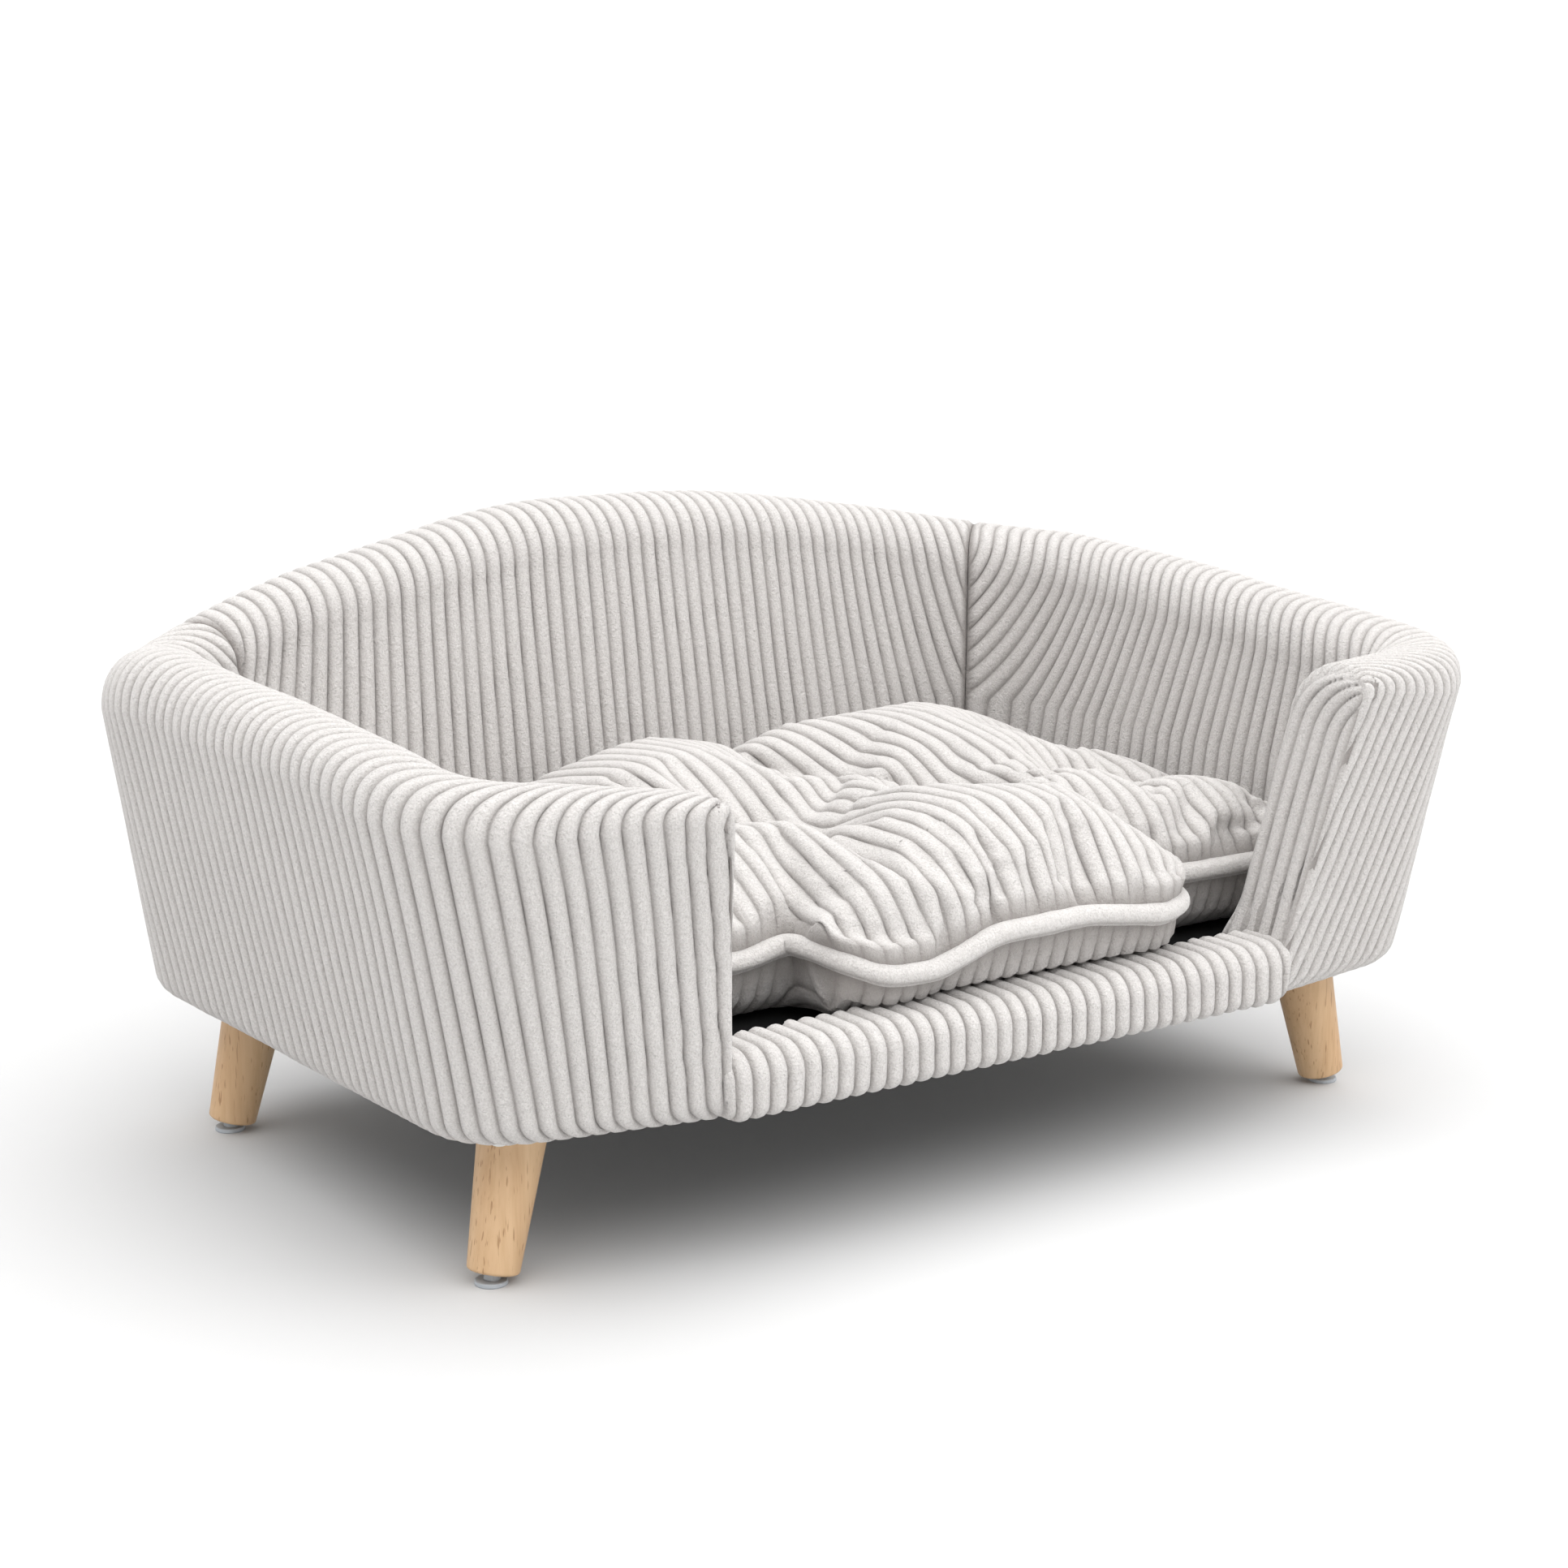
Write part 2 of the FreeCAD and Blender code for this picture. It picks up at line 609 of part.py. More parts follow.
# base board
board = flared_block(BOARD_INSET, BOARD_LOW + 0.1, BOARD_HIGH)
notch = box(-OPENING_HALF, OPENING_HALF, -60.0, RAIL_BOARD_Y, 60.0, 140.0)
board = board.cut(notch)
fill_half = OPENING_HALF - 0.5
front_fill = box(-fill_half, fill_half, RAIL_BOARD_Y, 30.0, BOARD_LOW + 0.1, BOARD_HIGH)
board = board.fuse(front_fill).removeSplitter()
board = board.cut(base_screw_tool).cut(plate_tool).cut(plate_holes).cut(staple_tool)
export("base_board", largest(board))

# padded front rail
mid_z = RAIL_TOP - RAIL_ROUND
bend = RAIL_ROUND * (1.0 - math.sqrt(0.5))
thin_r = RAIL_ROUND - SKIN
thin_bend = SKIN + thin_r * (1.0 - math.sqrt(0.5))
outline = [
    Part.makeLine(Vector(0, 0, BODY_Z), Vector(0, 0, mid_z)),
    Part.Arc(
        Vector(0, 0, mid_z), Vector(0, bend, RAIL_TOP - bend), Vector(0, RAIL_ROUND, RAIL_TOP)
    ).toShape(),
    Part.makeLine(Vector(0, RAIL_ROUND, RAIL_TOP), Vector(0, RAIL_DEEP, RAIL_TOP)),
    Part.makeLine(Vector(0, RAIL_DEEP, RAIL_TOP), Vector(0, RAIL_DEEP, RAIL_TOP - SKIN)),
    Part.makeLine(Vector(0, RAIL_DEEP, RAIL_TOP - SKIN), Vector(0, RAIL_ROUND, RAIL_TOP - SKIN)),
    Part.Arc(
        Vector(0, RAIL_ROUND, RAIL_TOP - SKIN),
        Vector(0, thin_bend, RAIL_TOP - thin_bend),
        Vector(0, SKIN, mid_z),
    ).toShape(),
    Part.makeLine(Vector(0, SKIN, mid_z), Vector(0, SKIN, BODY_Z + 1.0)),
    Part.makeLine(Vector(0, SKIN, BODY_Z + 1.0), Vector(0, 40.0, BODY_Z + 1.0)),
    Part.makeLine(Vector(0, 40.0, BODY_Z + 1.0), Vector(0, 40.0, BODY_Z)),
    Part.makeLine(Vector(0, 40.0, BODY_Z), Vector(0, 0, BODY_Z)),
]
rail_limit = entry_prism(-GAP)
rail_face = Part.Face(Part.Wire(outline))
rail_face.translate(Vector(-230.0, 0.0, 0.0))
rail_cover = rail_face.extrude(Vector(460.0, 0.0, 0.0)).common(rail_limit)
export("rail_cover", rail_cover.cut(staple_tool))
core_y0 = 8.0
core_y1 = RAIL_DEEP - 5.0
rail_core = box(-230.0, 230.0, core_y0, core_y1, BOARD_HIGH, RAIL_TOP - 6.0)
rail_core = rail_core.common(entry_prism(-GAP - 1.0)).cut(base_screw_tool)
export("rail_core", rail_core)
soft_y1 = RAIL_DEEP - 1.0
soft_top = RAIL_TOP - SKIN - GAP
soft_r = thin_r - GAP
soft_bend = soft_r * (1.0 - math.sqrt(0.5))
soft_y0 = SKIN + GAP
soft_outline = [
    Part.makeLine(Vector(0, soft_y0, DECK_LOW), Vector(0, soft_y0, mid_z)),
    Part.Arc(
        Vector(0, soft_y0, mid_z),
        Vector(0, soft_y0 + soft_bend, soft_top - soft_bend),
        Vector(0, soft_y0 + soft_r, soft_top),
    ).toShape(),
    Part.makeLine(Vector(0, soft_y0 + soft_r, soft_top), Vector(0, soft_y1, soft_top)),
    Part.makeLine(Vector(0, soft_y1, soft_top), Vector(0, soft_y1, DECK_LOW)),
    Part.makeLine(Vector(0, soft_y1, DECK_LOW), Vector(0, soft_y0, DECK_LOW)),
]
soft_face = Part.Face(Part.Wire(soft_outline))
soft_face.translate(Vector(-230.0, 0.0, 0.0))
rail_padding = soft_face.extrude(Vector(460.0, 0.0, 0.0))
core_hole = box(-231.0, 231.0, core_y0 - GAP, core_y1 + GAP, 90.0, RAIL_TOP - 6.0 + GAP)
rail_padding = rail_padding.cut(core_hole).common(entry_prism(-GAP - 0.5))
export("rail_padding", rail_padding)

# black deck cloth on the board and dust cover under it
deck_plan = flared_block(wall_thickness(DECK_LOW) + 0.6, DECK_LOW, DECK_LOW + DECK_THICK)
deck_entry = box(-196.0, 196.0, RAIL_DEEP - 0.4, 140.0, DECK_LOW, DECK_LOW + DECK_THICK)
deck = deck_plan.fuse(deck_entry).removeSplitter()
deck = deck.cut(box(-400.0, 400.0, -100.0, RAIL_DEEP - 0.5, 60.0, 200.0))
export("deck_cloth", largest(deck))
dust = flared_block(12.0, DUST_LOW, DUST_LOW + DUST_THICK)
dust = dust.cut(box(-400.0, 400.0, -100.0, 14.0, 60.0, 200.0))
dust = dust.cut(staple_tool).cut(plate_tool).cut(plate_holes)
export("dust_cover", largest(dust))
export("staples", Part.makeCompound(staple_list))

# legs, their plates, bolts, screws and glides
glides = {spot: glide(spot) for spot in LEG_SPOTS}
for spot in LEG_SPOTS:
    leg = leg_blank(spot).cut(hanger_bolt(spot)).cut(glides[spot])
    export("leg_" + spot, largest(leg))
export("leg_plates", Part.makeCompound([leg_plate(spot) for spot in LEG_SPOTS]))
export("hanger_bolts", Part.makeCompound([hanger_bolt(spot) for spot in LEG_SPOTS]))
export("plate_screws", Part.makeCompound(all_plate_screws))
export("glides", Part.makeCompound([glides[spot] for spot in LEG_SPOTS]))

# loose seat cushion
cushion_outer = cushion_body(0.0)
cushion_inner = cushion_body(SKIN)
ticking = cushion_outer.cut(cushion_inner).cut(tufts)
upper = box(-400.0, 400.0, -50.0, 500.0, CUSHION_SEAM_Z + 0.1, 300.0)
lower = box(-400.0, 400.0, -50.0, 500.0, 60.0, CUSHION_SEAM_Z - 0.1)
export("cushion_top", largest(ticking.common(upper)))
export("cushion_bottom", largest(ticking.common(lower)))
export("cushion_filling", cushion_body(SKIN + GAP).cut(tufts))
export("cushion_piping", piping())
export("tuft_ties", tufts)
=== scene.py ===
import json
import math

import bmesh
import bpy
import numpy as np
from mathutils import Matrix, Vector, noise


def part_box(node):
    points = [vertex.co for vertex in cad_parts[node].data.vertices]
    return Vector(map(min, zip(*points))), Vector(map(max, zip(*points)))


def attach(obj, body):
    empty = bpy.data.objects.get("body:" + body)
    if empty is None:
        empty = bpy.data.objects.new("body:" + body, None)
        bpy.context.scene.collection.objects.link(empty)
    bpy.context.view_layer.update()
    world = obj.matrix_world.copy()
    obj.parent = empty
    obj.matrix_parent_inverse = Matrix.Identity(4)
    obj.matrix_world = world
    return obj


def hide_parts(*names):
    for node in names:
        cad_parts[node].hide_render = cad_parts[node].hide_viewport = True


# A pet sofa in wide-wale corduroy.  The CAD's hard pieces stay as they are;
# covers, padding, rail and cushion are built here, the fabric with real ribs.
# Metres, +Z up, +Y to the back, z = 0 is the floor.

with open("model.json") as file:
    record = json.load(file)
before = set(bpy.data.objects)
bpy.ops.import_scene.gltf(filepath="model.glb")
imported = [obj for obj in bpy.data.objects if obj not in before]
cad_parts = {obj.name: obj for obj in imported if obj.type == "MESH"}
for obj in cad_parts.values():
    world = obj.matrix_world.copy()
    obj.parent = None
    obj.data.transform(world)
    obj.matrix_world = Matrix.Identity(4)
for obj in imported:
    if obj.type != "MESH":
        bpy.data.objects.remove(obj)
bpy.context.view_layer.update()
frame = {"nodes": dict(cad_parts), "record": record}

# ---- dimensions
PITCH = 0.011  # one rib and its groove
RIB_OUT = 0.0016  # rib crest above the nominal surface
RIB_DEEP = 0.0037  # crest to groove
# positions across one rib where the mesh has a column, groove to groove
RIB_STEPS = (0.0, 0.05, 0.16, 0.34, 0.5, 0.66, 0.84, 0.95)
WELD = 0.00002  # points closer than this are one
TINY = 1e-9  # slack in comparing places on a grid

RAIL_LOW, RAIL_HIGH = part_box("rail_cover")
FRONT = RAIL_LOW[1]  # plane of the rail's front face
BODY_Z = RAIL_LOW[2]  # underside of the body
RAIL_TOP = RAIL_HIGH[2]
DECK_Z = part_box("deck_cloth")[1][2]
BACK_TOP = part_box("cover_back")[1][2]

HALF_WIDTH = 0.342  # body's outer half width at its underside
REAR_Y = FRONT + 0.456  # back face at the underside
OPENING_HALF = 0.196  # entry half width at the underside
LEAN = {1.0: 0.19, -1.0: 0.115}  # the entry's two sides, right and left
WING_Y = FRONT + 0.008  # wing face beside the entry
WING_SLOPE = 0.163  # the wing faces run back toward the corners
FLARE = 0.21  # outward lean of every wall
FRONT_RADIUS = 0.052  # plan radius of the front corners, underside
REAR_RADIUS = 0.068  # and of the rear corners
REAR_GROWTH = 0.22  # extra growth of the rear radius with height
WALL_LOW = 0.050  # wall thickness at the underside
WALL_HIGH = 0.062  # and at the top of the back
WING_TOP = 0.270  # height of the wings
ARM_RISE = 0.041  # the arms climb this much toward the back
CORNER_TOP = 0.309  # height of the rear corners
BACK_FROM = 0.330  # behind the rail's face, where an arm turns
BACK_OVER = 0.110  # into the back over this depth
SIDE_MID = FRONT + 0.23  # where the arms' rib count starts
SEAM_X = 0.222  # the corner seams run through here in plan
SEAM_Y = FRONT + 0.350
SEAM_TURN = {1.0: 1.0, -1.0: 1.7}  # and this steeply
SEAM_GAP = 0.0002  # half the gap between two covers at a seam

# hand-made unevenness
TILT = 0.008  # the back's crest, right corner up, left corner down
FRONT_EXTRA = 0.013  # the right wing stands this much taller
LEFT_DROP = 0.009  # the left rear corner is stuffed lower
WING_DIP = 0.006  # the left wing's top sinks toward the entry
ARM_TILT = 0.0035  # the right arm up, the left arm down

# the walls' section and the wing ends
HALF_COUNTS = (40, 44, 70, 70, 60)  # stations on wing, corner, side, corner, half back
STATIONS = sum(HALF_COUNTS) + 1
STRETCH = np.append(np.repeat(np.arange(5), HALF_COUNTS), 4)  # which of the five
PART = np.concatenate([np.arange(count) / count for count in HALF_COUNTS] + [[1.0]])
MID_Z = 0.290  # level in the walls where the plan is read
LIP = 0.012  # rounding of the body's lower edge
UNDER = 0.040  # how far the cover goes under the body
INNER_END = DECK_Z - 0.0008  # the inner face ends on the deck
INNER_HIGH = 0.240  # and starts about this high at the wing's end
CROWN_TIGHT = 0.012  # outer half of the crown over the wings
CROWN_SOFT = 0.034  # and where it is stuffed roundest
CROWN_IN = 0.034  # height of the crown's inner half
FULL_IN = 0.88  # below 1 the crown is fuller than an ellipse
EDGE_ROUND = 0.012  # rounding where the fabric turns onto the wing end
EDGE_TIGHT = 0.004  # and where it is pulled to a tight seam
EDGE_FOOT = 0.003  # and down at the deck
HEEL = 0.0038  # the wing's foot bulges this much over the deck
END_SLIDE = 0.2  # slope in which the wing end's ribs are stacked
WING_TURN = {1.0: -0.06, -1.0: 0.15}  # how the wings' ribs turn from their end's line
WING_REACH = 0.25  # over this length
FAN = {"arm": (0.65, 0.15), "back": (0.28, 0.08)}  # rib fan at a corner seam
FOAM_SHORT = 0.014  # the foam stops short of the wing's end
FOAM_UNDER = 0.0040  # foam surface below the cover's nominal face
FOAM_STEP = 0.012  # spacing of the foam's rows
COVER_STEP = 0.0036  # spacing of the covers' rows
END_CLOTH = 0.0012  # thickness of the wing end's fabric

# the rail's section
RAIL_FOOT = 0.007  # rounding of its lower edge
RAIL_SHOULDER = 0.020  # where its upper rounding starts
RAIL_PRESS = 0.0060  # its ends press into the wings' pile


def smooth(value):
    value = np.clip(value, 0.0, 1.0)
    return value * value * (3.0 - 2.0 * value)


def fade(value, start, span):
    """0 up to start, 1 from a span later, smooth between."""
    return smooth((value - start) / span)


def unit(vectors):
    return vectors / (np.linalg.norm(vectors, axis=-1, keepdims=True) + 1e-12)


def add_object(name, data):
    obj = bpy.data.objects.new(name, data)
    bpy.context.scene.collection.objects.link(obj)
    return obj


# ---- materials
def new_material(name):
    material = bpy.data.materials.new(name)
    material.use_nodes = True
    tree = material.node_tree
    shader = tree.nodes["Principled BSDF"]
    return material, tree, shader


def add_node(tree, kind, **settings):
    node = tree.nodes.new("ShaderNode" + kind)
    for key, value in settings.items():
        setattr(node, key, value)
    return node


def set_inputs(node, values):
    for name, value in values.items():
        node.inputs[name].default_value = value


def object_noise(tree, scale, detail=2.0, stretch=(1.0, 1.0, 1.0), rough=0.5):
    """Noise in object coordinates, as a factor output."""
    coords = add_node(tree, "TexCoord")
    mapping = add_node(tree, "Mapping")
    set_inputs(mapping, {"Scale": stretch})
    texture = add_node(tree, "TexNoise")
    set_inputs(texture, {"Scale": scale, "Detail": detail, "Roughness": rough})
    tree.links.new(coords.outputs["Object"], mapping.inputs["Vector"])
    tree.links.new(mapping.outputs["Vector"], texture.inputs["Vector"])
    return texture.outputs["Fac"]


def ramp(tree, source, stops):
    node = add_node(tree, "ValToRGB")
    elements = node.color_ramp.elements
    while len(elements) < len(stops):
        elements.new(0.5)
    for element, (place, colour) in zip(elements, stops):
        element.position = place
        element.color = (colour[0], colour[1], colour[2], 1.0)
    tree.links.new(source, node.inputs["Fac"])
    return node.outputs["Color"]


def mix(tree, kind, factor, first, second):
    node = add_node(tree, "Mix", data_type="RGBA", blend_type=kind)
    for place, value in (("Factor", factor), (6, first), (7, second)):
        socket = node.inputs[place]
        if isinstance(value, bpy.types.NodeSocket):
            tree.links.new(value, socket)
        else:
            socket.default_value = value
    return node.outputs[2]


def bump(tree, height, strength, distance, normal=None):
    node = add_node(tree, "Bump")
    set_inputs(node, {"Strength": strength, "Distance": distance})
    tree.links.new(height, node.inputs["Height"])
    if normal is not None:
        tree.links.new(normal, node.inputs["Normal"])
    return node.outputs["Normal"]


def corduroy(name, light, groove):
    """Plush corduroy: pale pile on the ribs, with painted shade in the grooves and along the
    seams, mixed in where the meshes' pile mask is low.
    """
    material, tree, shader = new_material(name)
    depth = add_node(tree, "Attribute", attribute_name="pile")
    broad = object_noise(tree, 9.0, 3.0)
    pile = object_noise(tree, 900.0, 3.0, rough=0.7)
    tufts = object_noise(tree, 330.0, 2.0)
    tone = ramp(tree, broad, [(0.3, tuple(0.965 * c for c in light)), (0.7, light)])
    speck = ramp(tree, pile, [(0.34, (0.74, 0.73, 0.725)), (0.62, (1.0, 1.0, 1.0))])
    body = mix(tree, "MULTIPLY", 0.85, tone, speck)
    # painted shade: the dark groove colour is mixed in where the pile mask falls toward 0, in the
    # rib grooves and where the cloth tucks into a seam
    colour = mix(tree, "MIX", depth.outputs["Fac"], (*groove, 1.0), body)
    tree.links.new(colour, shader.inputs["Base Color"])
    set_inputs(shader, {"Roughness": 0.92, "Specular IOR Level": 0.12})
    set_inputs(shader, {"Sheen Weight": 0.30, "Sheen Roughness": 0.45})
    soft = bump(tree, tufts, 0.8, 0.0016)
    fine = bump(tree, pile, 1.0, 0.0012, soft)
    tree.links.new(fine, shader.inputs["Normal"])
    return material


def wood(name, pale, dark, pores=True):
    """Lacquered pale hardwood with the grain along Z."""
    material, tree, shader = new_material(name)
    grain = object_noise(tree, 60.0, 5.0, stretch=(1.0, 1.0, 0.09), rough=0.6)
    streak = object_noise(tree, 260.0, 3.0, stretch=(1.0, 1.0, 0.05), rough=0.7)
    base = ramp(tree, grain, [(0.32, dark), (0.66, pale)])
    fine = ramp(tree, streak, [(0.35, (0.90, 0.87, 0.82)), (0.6, (1.0, 1.0, 1.0))])
    colour = mix(tree, "MULTIPLY", 0.8, base, fine)
    if pores:
        pore = object_noise(tree, 800.0, 1.0, stretch=(1.0, 1.0, 0.075))
        marks = ramp(tree, pore, [(0.28, (0.52, 0.42, 0.33)), (0.36, (1.0, 1.0, 1.0))])
        colour = mix(tree, "MULTIPLY", 0.75, colour, marks)
    tree.links.new(colour, shader.inputs["Base Color"])
    set_inputs(shader, {"Roughness": 0.48, "Specular IOR Level": 0.35})
    tree.links.new(bump(tree, streak, 0.12, 0.0004), shader.inputs["Normal"])
    return material


def plain(name, colour, rough, metal, grain, scale=400.0):
    """One colour with a fine mottle of its own."""
    material, tree, shader = new_material(name)
    shade = object_noise(tree, scale, 3.0)
    low = tuple(c * (1.0 - grain) for c in colour)
    tree.links.new(ramp(tree, shade, [(0.35, low), (0.65, colour)]), shader.inputs["Base Color"])
    set_inputs(shader, {"Roughness": rough, "Metallic": metal})
    tree.links.new(bump(tree, shade, 0.3, 0.0004), shader.inputs["Normal"])
    return material


SLOTS = {
    # corduroy: its own pale colour, then the colour of the painted shade in its grooves and at its
    # seams
    "corduroy": (corduroy, (0.735, 0.71, 0.692), (0.31, 0.285, 0.27)),
    "rubberwood": (wood, (0.66, 0.455, 0.27), (0.56, 0.36, 0.20)),
    "plywood": (wood, (0.62, 0.47, 0.30), (0.52, 0.38, 0.24), False),
    "pine": (wood, (0.72, 0.55, 0.34), (0.62, 0.44, 0.26), False),
    "padding": (plain, (0.85, 0.82, 0.74), 0.95, 0.0, 0.06),
    "black_cloth": (plain, (0.012, 0.012, 0.013), 0.95, 0.0, 0.5, 900.0),
    "dust_cloth": (plain, (0.03, 0.03, 0.032), 0.95, 0.0, 0.4, 700.0),
    "glide_plastic": (plain, (0.42, 0.45, 0.48), 0.5, 0.0, 0.05),
    "thread": (plain, (0.72, 0.69, 0.66), 0.8, 0.0, 0.2, 1500.0),
    "zinc_steel": (plain, (0.60, 0.60, 0.58), 0.35, 1.0, 0.08),
}
MATERIALS = {slot: make(slot, *values) for slot, (make, *values) in SLOTS.items()}
CORDUROY = MATERIALS["corduroy"]
FOAM = MATERIALS["padding"]


def dress_cad_nodes():
    """Every carried-over CAD node gets its slot's material."""
    slots = {part["node"]: part["material_slot"] for part in frame["record"]["subparts"]}
    for node, obj in frame["nodes"].items():
        obj.data.materials.clear()
        obj.data.materials.append(MATERIALS[slots[node]])


# ---- mesh helpers
def rib_profile(u):
    """Height of the corduroy above its groove, 0 to 1, across the ribs."""
    across = np.abs(2.0 * (u / PITCH - np.floor(u / PITCH)) - 1.0)
    return np.sqrt(np.clip(1.0 - across ** 2.6, 0.0, 1.0))


def rib_columns(low, high):
    """Rib-aligned column positions that cover low to high."""
    first = math.floor(low / PITCH)
    last = math.ceil(high / PITCH)
    columns = [(rib + step) * PITCH for rib in range(first, last) for step in RIB_STEPS]
    columns.append(last * PITCH)
    return np.array(columns)


def wobble(u, v, seed):
    """Slow noise over a piece, about -1 to 1."""
    flat = [noise.noise(Vector((a, b, seed))) for a, b in zip(u.ravel(), v.ravel())]
    return 1.8 * np.array(flat).reshape(u.shape)


def grid_object(name, points, pile, keep, close_rows=False):
    """Mesh from a rows x columns grid; keep says which cells have a face."""
    rows, cols = points.shape[:2]
    index = np.arange(rows * cols).reshape(rows, cols)
    upper = np.roll(index, -1, axis=0) if close_rows else index[1:]
    lower = index if close_rows else index[:-1]
    quads = np.stack([lower[:, :-1], lower[:, 1:], upper[:, 1:], upper[:, :-1]], axis=-1)
    quads = quads[keep].reshape(-1, 4)
    used = np.unique(quads)
    remap = np.full(rows * cols, -1)
    remap[used] = np.arange(len(used))
    mesh = bpy.data.meshes.new(name)
    mesh.from_pydata(points.reshape(-1, 3)[used].tolist(), [], remap[quads].tolist())
    # pile: rib height, 1 on a crest and 0 in a groove or at a seam; the corduroy paints shade
    # where it is low
    layer = mesh.attributes.new("pile", "FLOAT", "POINT")
    layer.data.foreach_set("value", pile.reshape(-1)[used].astype(np.float32))
    return add_object(name, mesh)


def finish_mesh(obj, material, cap=True):
    """Weld, close the ends, make the normals point out, shade smooth."""
    bm = bmesh.new()
    bm.from_mesh(obj.data)
    bmesh.ops.remove_doubles(bm, verts=bm.verts, dist=WELD)
    bmesh.ops.dissolve_degenerate(bm, edges=bm.edges, dist=WELD)
    if cap:
        rim = [edge for edge in bm.edges if len(edge.link_faces) == 1]
        bmesh.ops.holes_fill(bm, edges=rim, sides=0)
    bmesh.ops.recalc_face_normals(bm, faces=bm.faces)
    bm.to_mesh(obj.data)
    bm.free()
    obj.data.shade_smooth()
    obj.data.materials.append(material)
    return obj


# ---- the wall's form
def crest_height(x, y, hand):
    """Height of the walls' top edge above a point of their middle line.

    hand is 1 for the right half and -1 for the left: the walls are
    upholstered a little higher on the right than on the left."""
    along = np.clip((y - FRONT + 0.020) / 0.460, 0.0, 1.0)
    rise = ARM_RISE - (FRONT_EXTRA if hand > 0 else 0.0)
    arm = WING_TOP + ARM_RISE - rise + rise * np.sin(0.5 * np.pi * along)
    arm = arm + hand * ARM_TILT * fade(y - FRONT, 0.120, 0.200)
    if hand < 0:
        corner = fade(np.abs(x), 0.200, 0.120)
        arm = arm + (WING_DIP * (1.6 * corner - 1.0)) * (1.0 - fade(y - FRONT, 0.080, 0.150))
    arch = np.clip(np.cos(0.5 * np.pi * np.minimum(np.abs(x) / 0.345, 1.0)), 0.0, 1.0)
    back = CORNER_TOP + (BACK_TOP - RIB_OUT - CORNER_TOP) * arch ** 1.3
    back = back + hand * TILT * smooth(np.abs(x) / 0.200)
    if hand < 0:
        back = back - LEFT_DROP * fade(np.abs(x), 0.200, 0.110)
    blend = fade(y - FRONT, BACK_FROM, BACK_OVER)
    return arm * (1.0 - blend) + back * blend


def half_plan(inset, z):
    """Plan of the wall from the right wing end to mid back, at the height z
    of each station and inset from the outer face."""
    lift = z - BODY_Z
    grow = lift * FLARE - inset
    norm = math.hypot(1.0, WING_SLOPE)
    wing_x = OPENING_HALF + grow * WING_SLOPE / norm
    wing_y = WING_Y - grow / norm
    side_x = HALF_WIDTH + grow
    back_y = REAR_Y + grow
    front_r = np.maximum(FRONT_RADIUS + grow, 0.006)
    rear_r = np.maximum(REAR_RADIUS + grow + lift * REAR_GROWTH, 0.012)
    front_cx = side_x - front_r
    front_cy = wing_y + WING_SLOPE * (front_cx - wing_x) + front_r * norm
    rear_cx = side_x - rear_r
    rear_cy = back_y - rear_r
    start = math.atan2(-1.0, WING_SLOPE)
    turn = start * (1.0 - PART)
    rear_turn = 0.5 * math.pi * PART
    first_x = OPENING_HALF - 0.03
    wing = first_x + (front_cx + front_r * math.cos(start) - first_x) * PART
    stretches = [STRETCH == number for number in range(5)]
    x = np.select(stretches, [
        wing,
        front_cx + front_r * np.cos(turn),
        side_x,
        rear_cx + rear_r * np.cos(rear_turn),
        rear_cx * (1.0 - PART),
    ])
    y = np.select(stretches, [
        wing_y + WING_SLOPE * (wing - wing_x),
        front_cy + front_r * np.sin(turn),
        front_cy + (rear_cy - front_cy) * PART,
        rear_cy + rear_r * np.sin(rear_turn),
        back_y,
    ])
    return x, y


def wall_thickness(z):
    return WALL_LOW + (WALL_HIGH - WALL_LOW) * (z - BODY_Z) / (BACK_TOP - BODY_Z)


def station_crests(hand):
    """Height of the crest at every station of one half."""
    z = np.full(STATIONS, MID_Z)
    outer_x, outer_y = half_plan(0.0, z)
    inner_x, inner_y = half_plan(wall_thickness(z), z)
    return crest_height(0.5 * (outer_x + inner_x), 0.5 * (outer_y + inner_y), hand)


def crown_form(softness):
    """Height, fullness and crest place of the crown's outer half."""
    high = CROWN_TIGHT + (CROWN_SOFT - CROWN_TIGHT) * softness
    return high, 0.66 + 0.30 * softness, 0.36 + 0.10 * softness


def station_softness(hand):
    """How softly the crown turns outward, at every station of one half."""
    x, y = half_plan(0.030, np.full(STATIONS, MID_Z))
    arm = 0.50 * fade(x, 0.240, 0.080) + 0.35 * fade(y - FRONT, 0.120, 0.200)
    corner = 1.0 if hand < 0 else 0.8
    back = 0.25 + (corner - 0.25) * fade(x, 0.150, 0.110)
    blend = fade(y - FRONT, BACK_FROM, BACK_OVER)
    return arm * (1.0 - blend) + back * blend




def section_rows(step):
    """Rows of one wall section: (kind, value), outside bottom to inside."""
    rows = [("under", UNDER), ("under", 0.028), ("under", 0.018)]
    rows += [("lip", angle) for angle in np.linspace(0.0, 0.5 * math.pi, 7)]
    count = int(0.20 / step)
    rows += [("outer", part) for part in np.linspace(0.0, 1.0, count)[1:]]
    rows += [("crown", angle) for angle in np.linspace(0.0, math.pi, 27)[1:-1]]
    rows += [("inner", part) for part in np.linspace(0.0, 1.0, count)]
    rows += [("foot", 0.0), ("foot", 1.0)]
    return rows


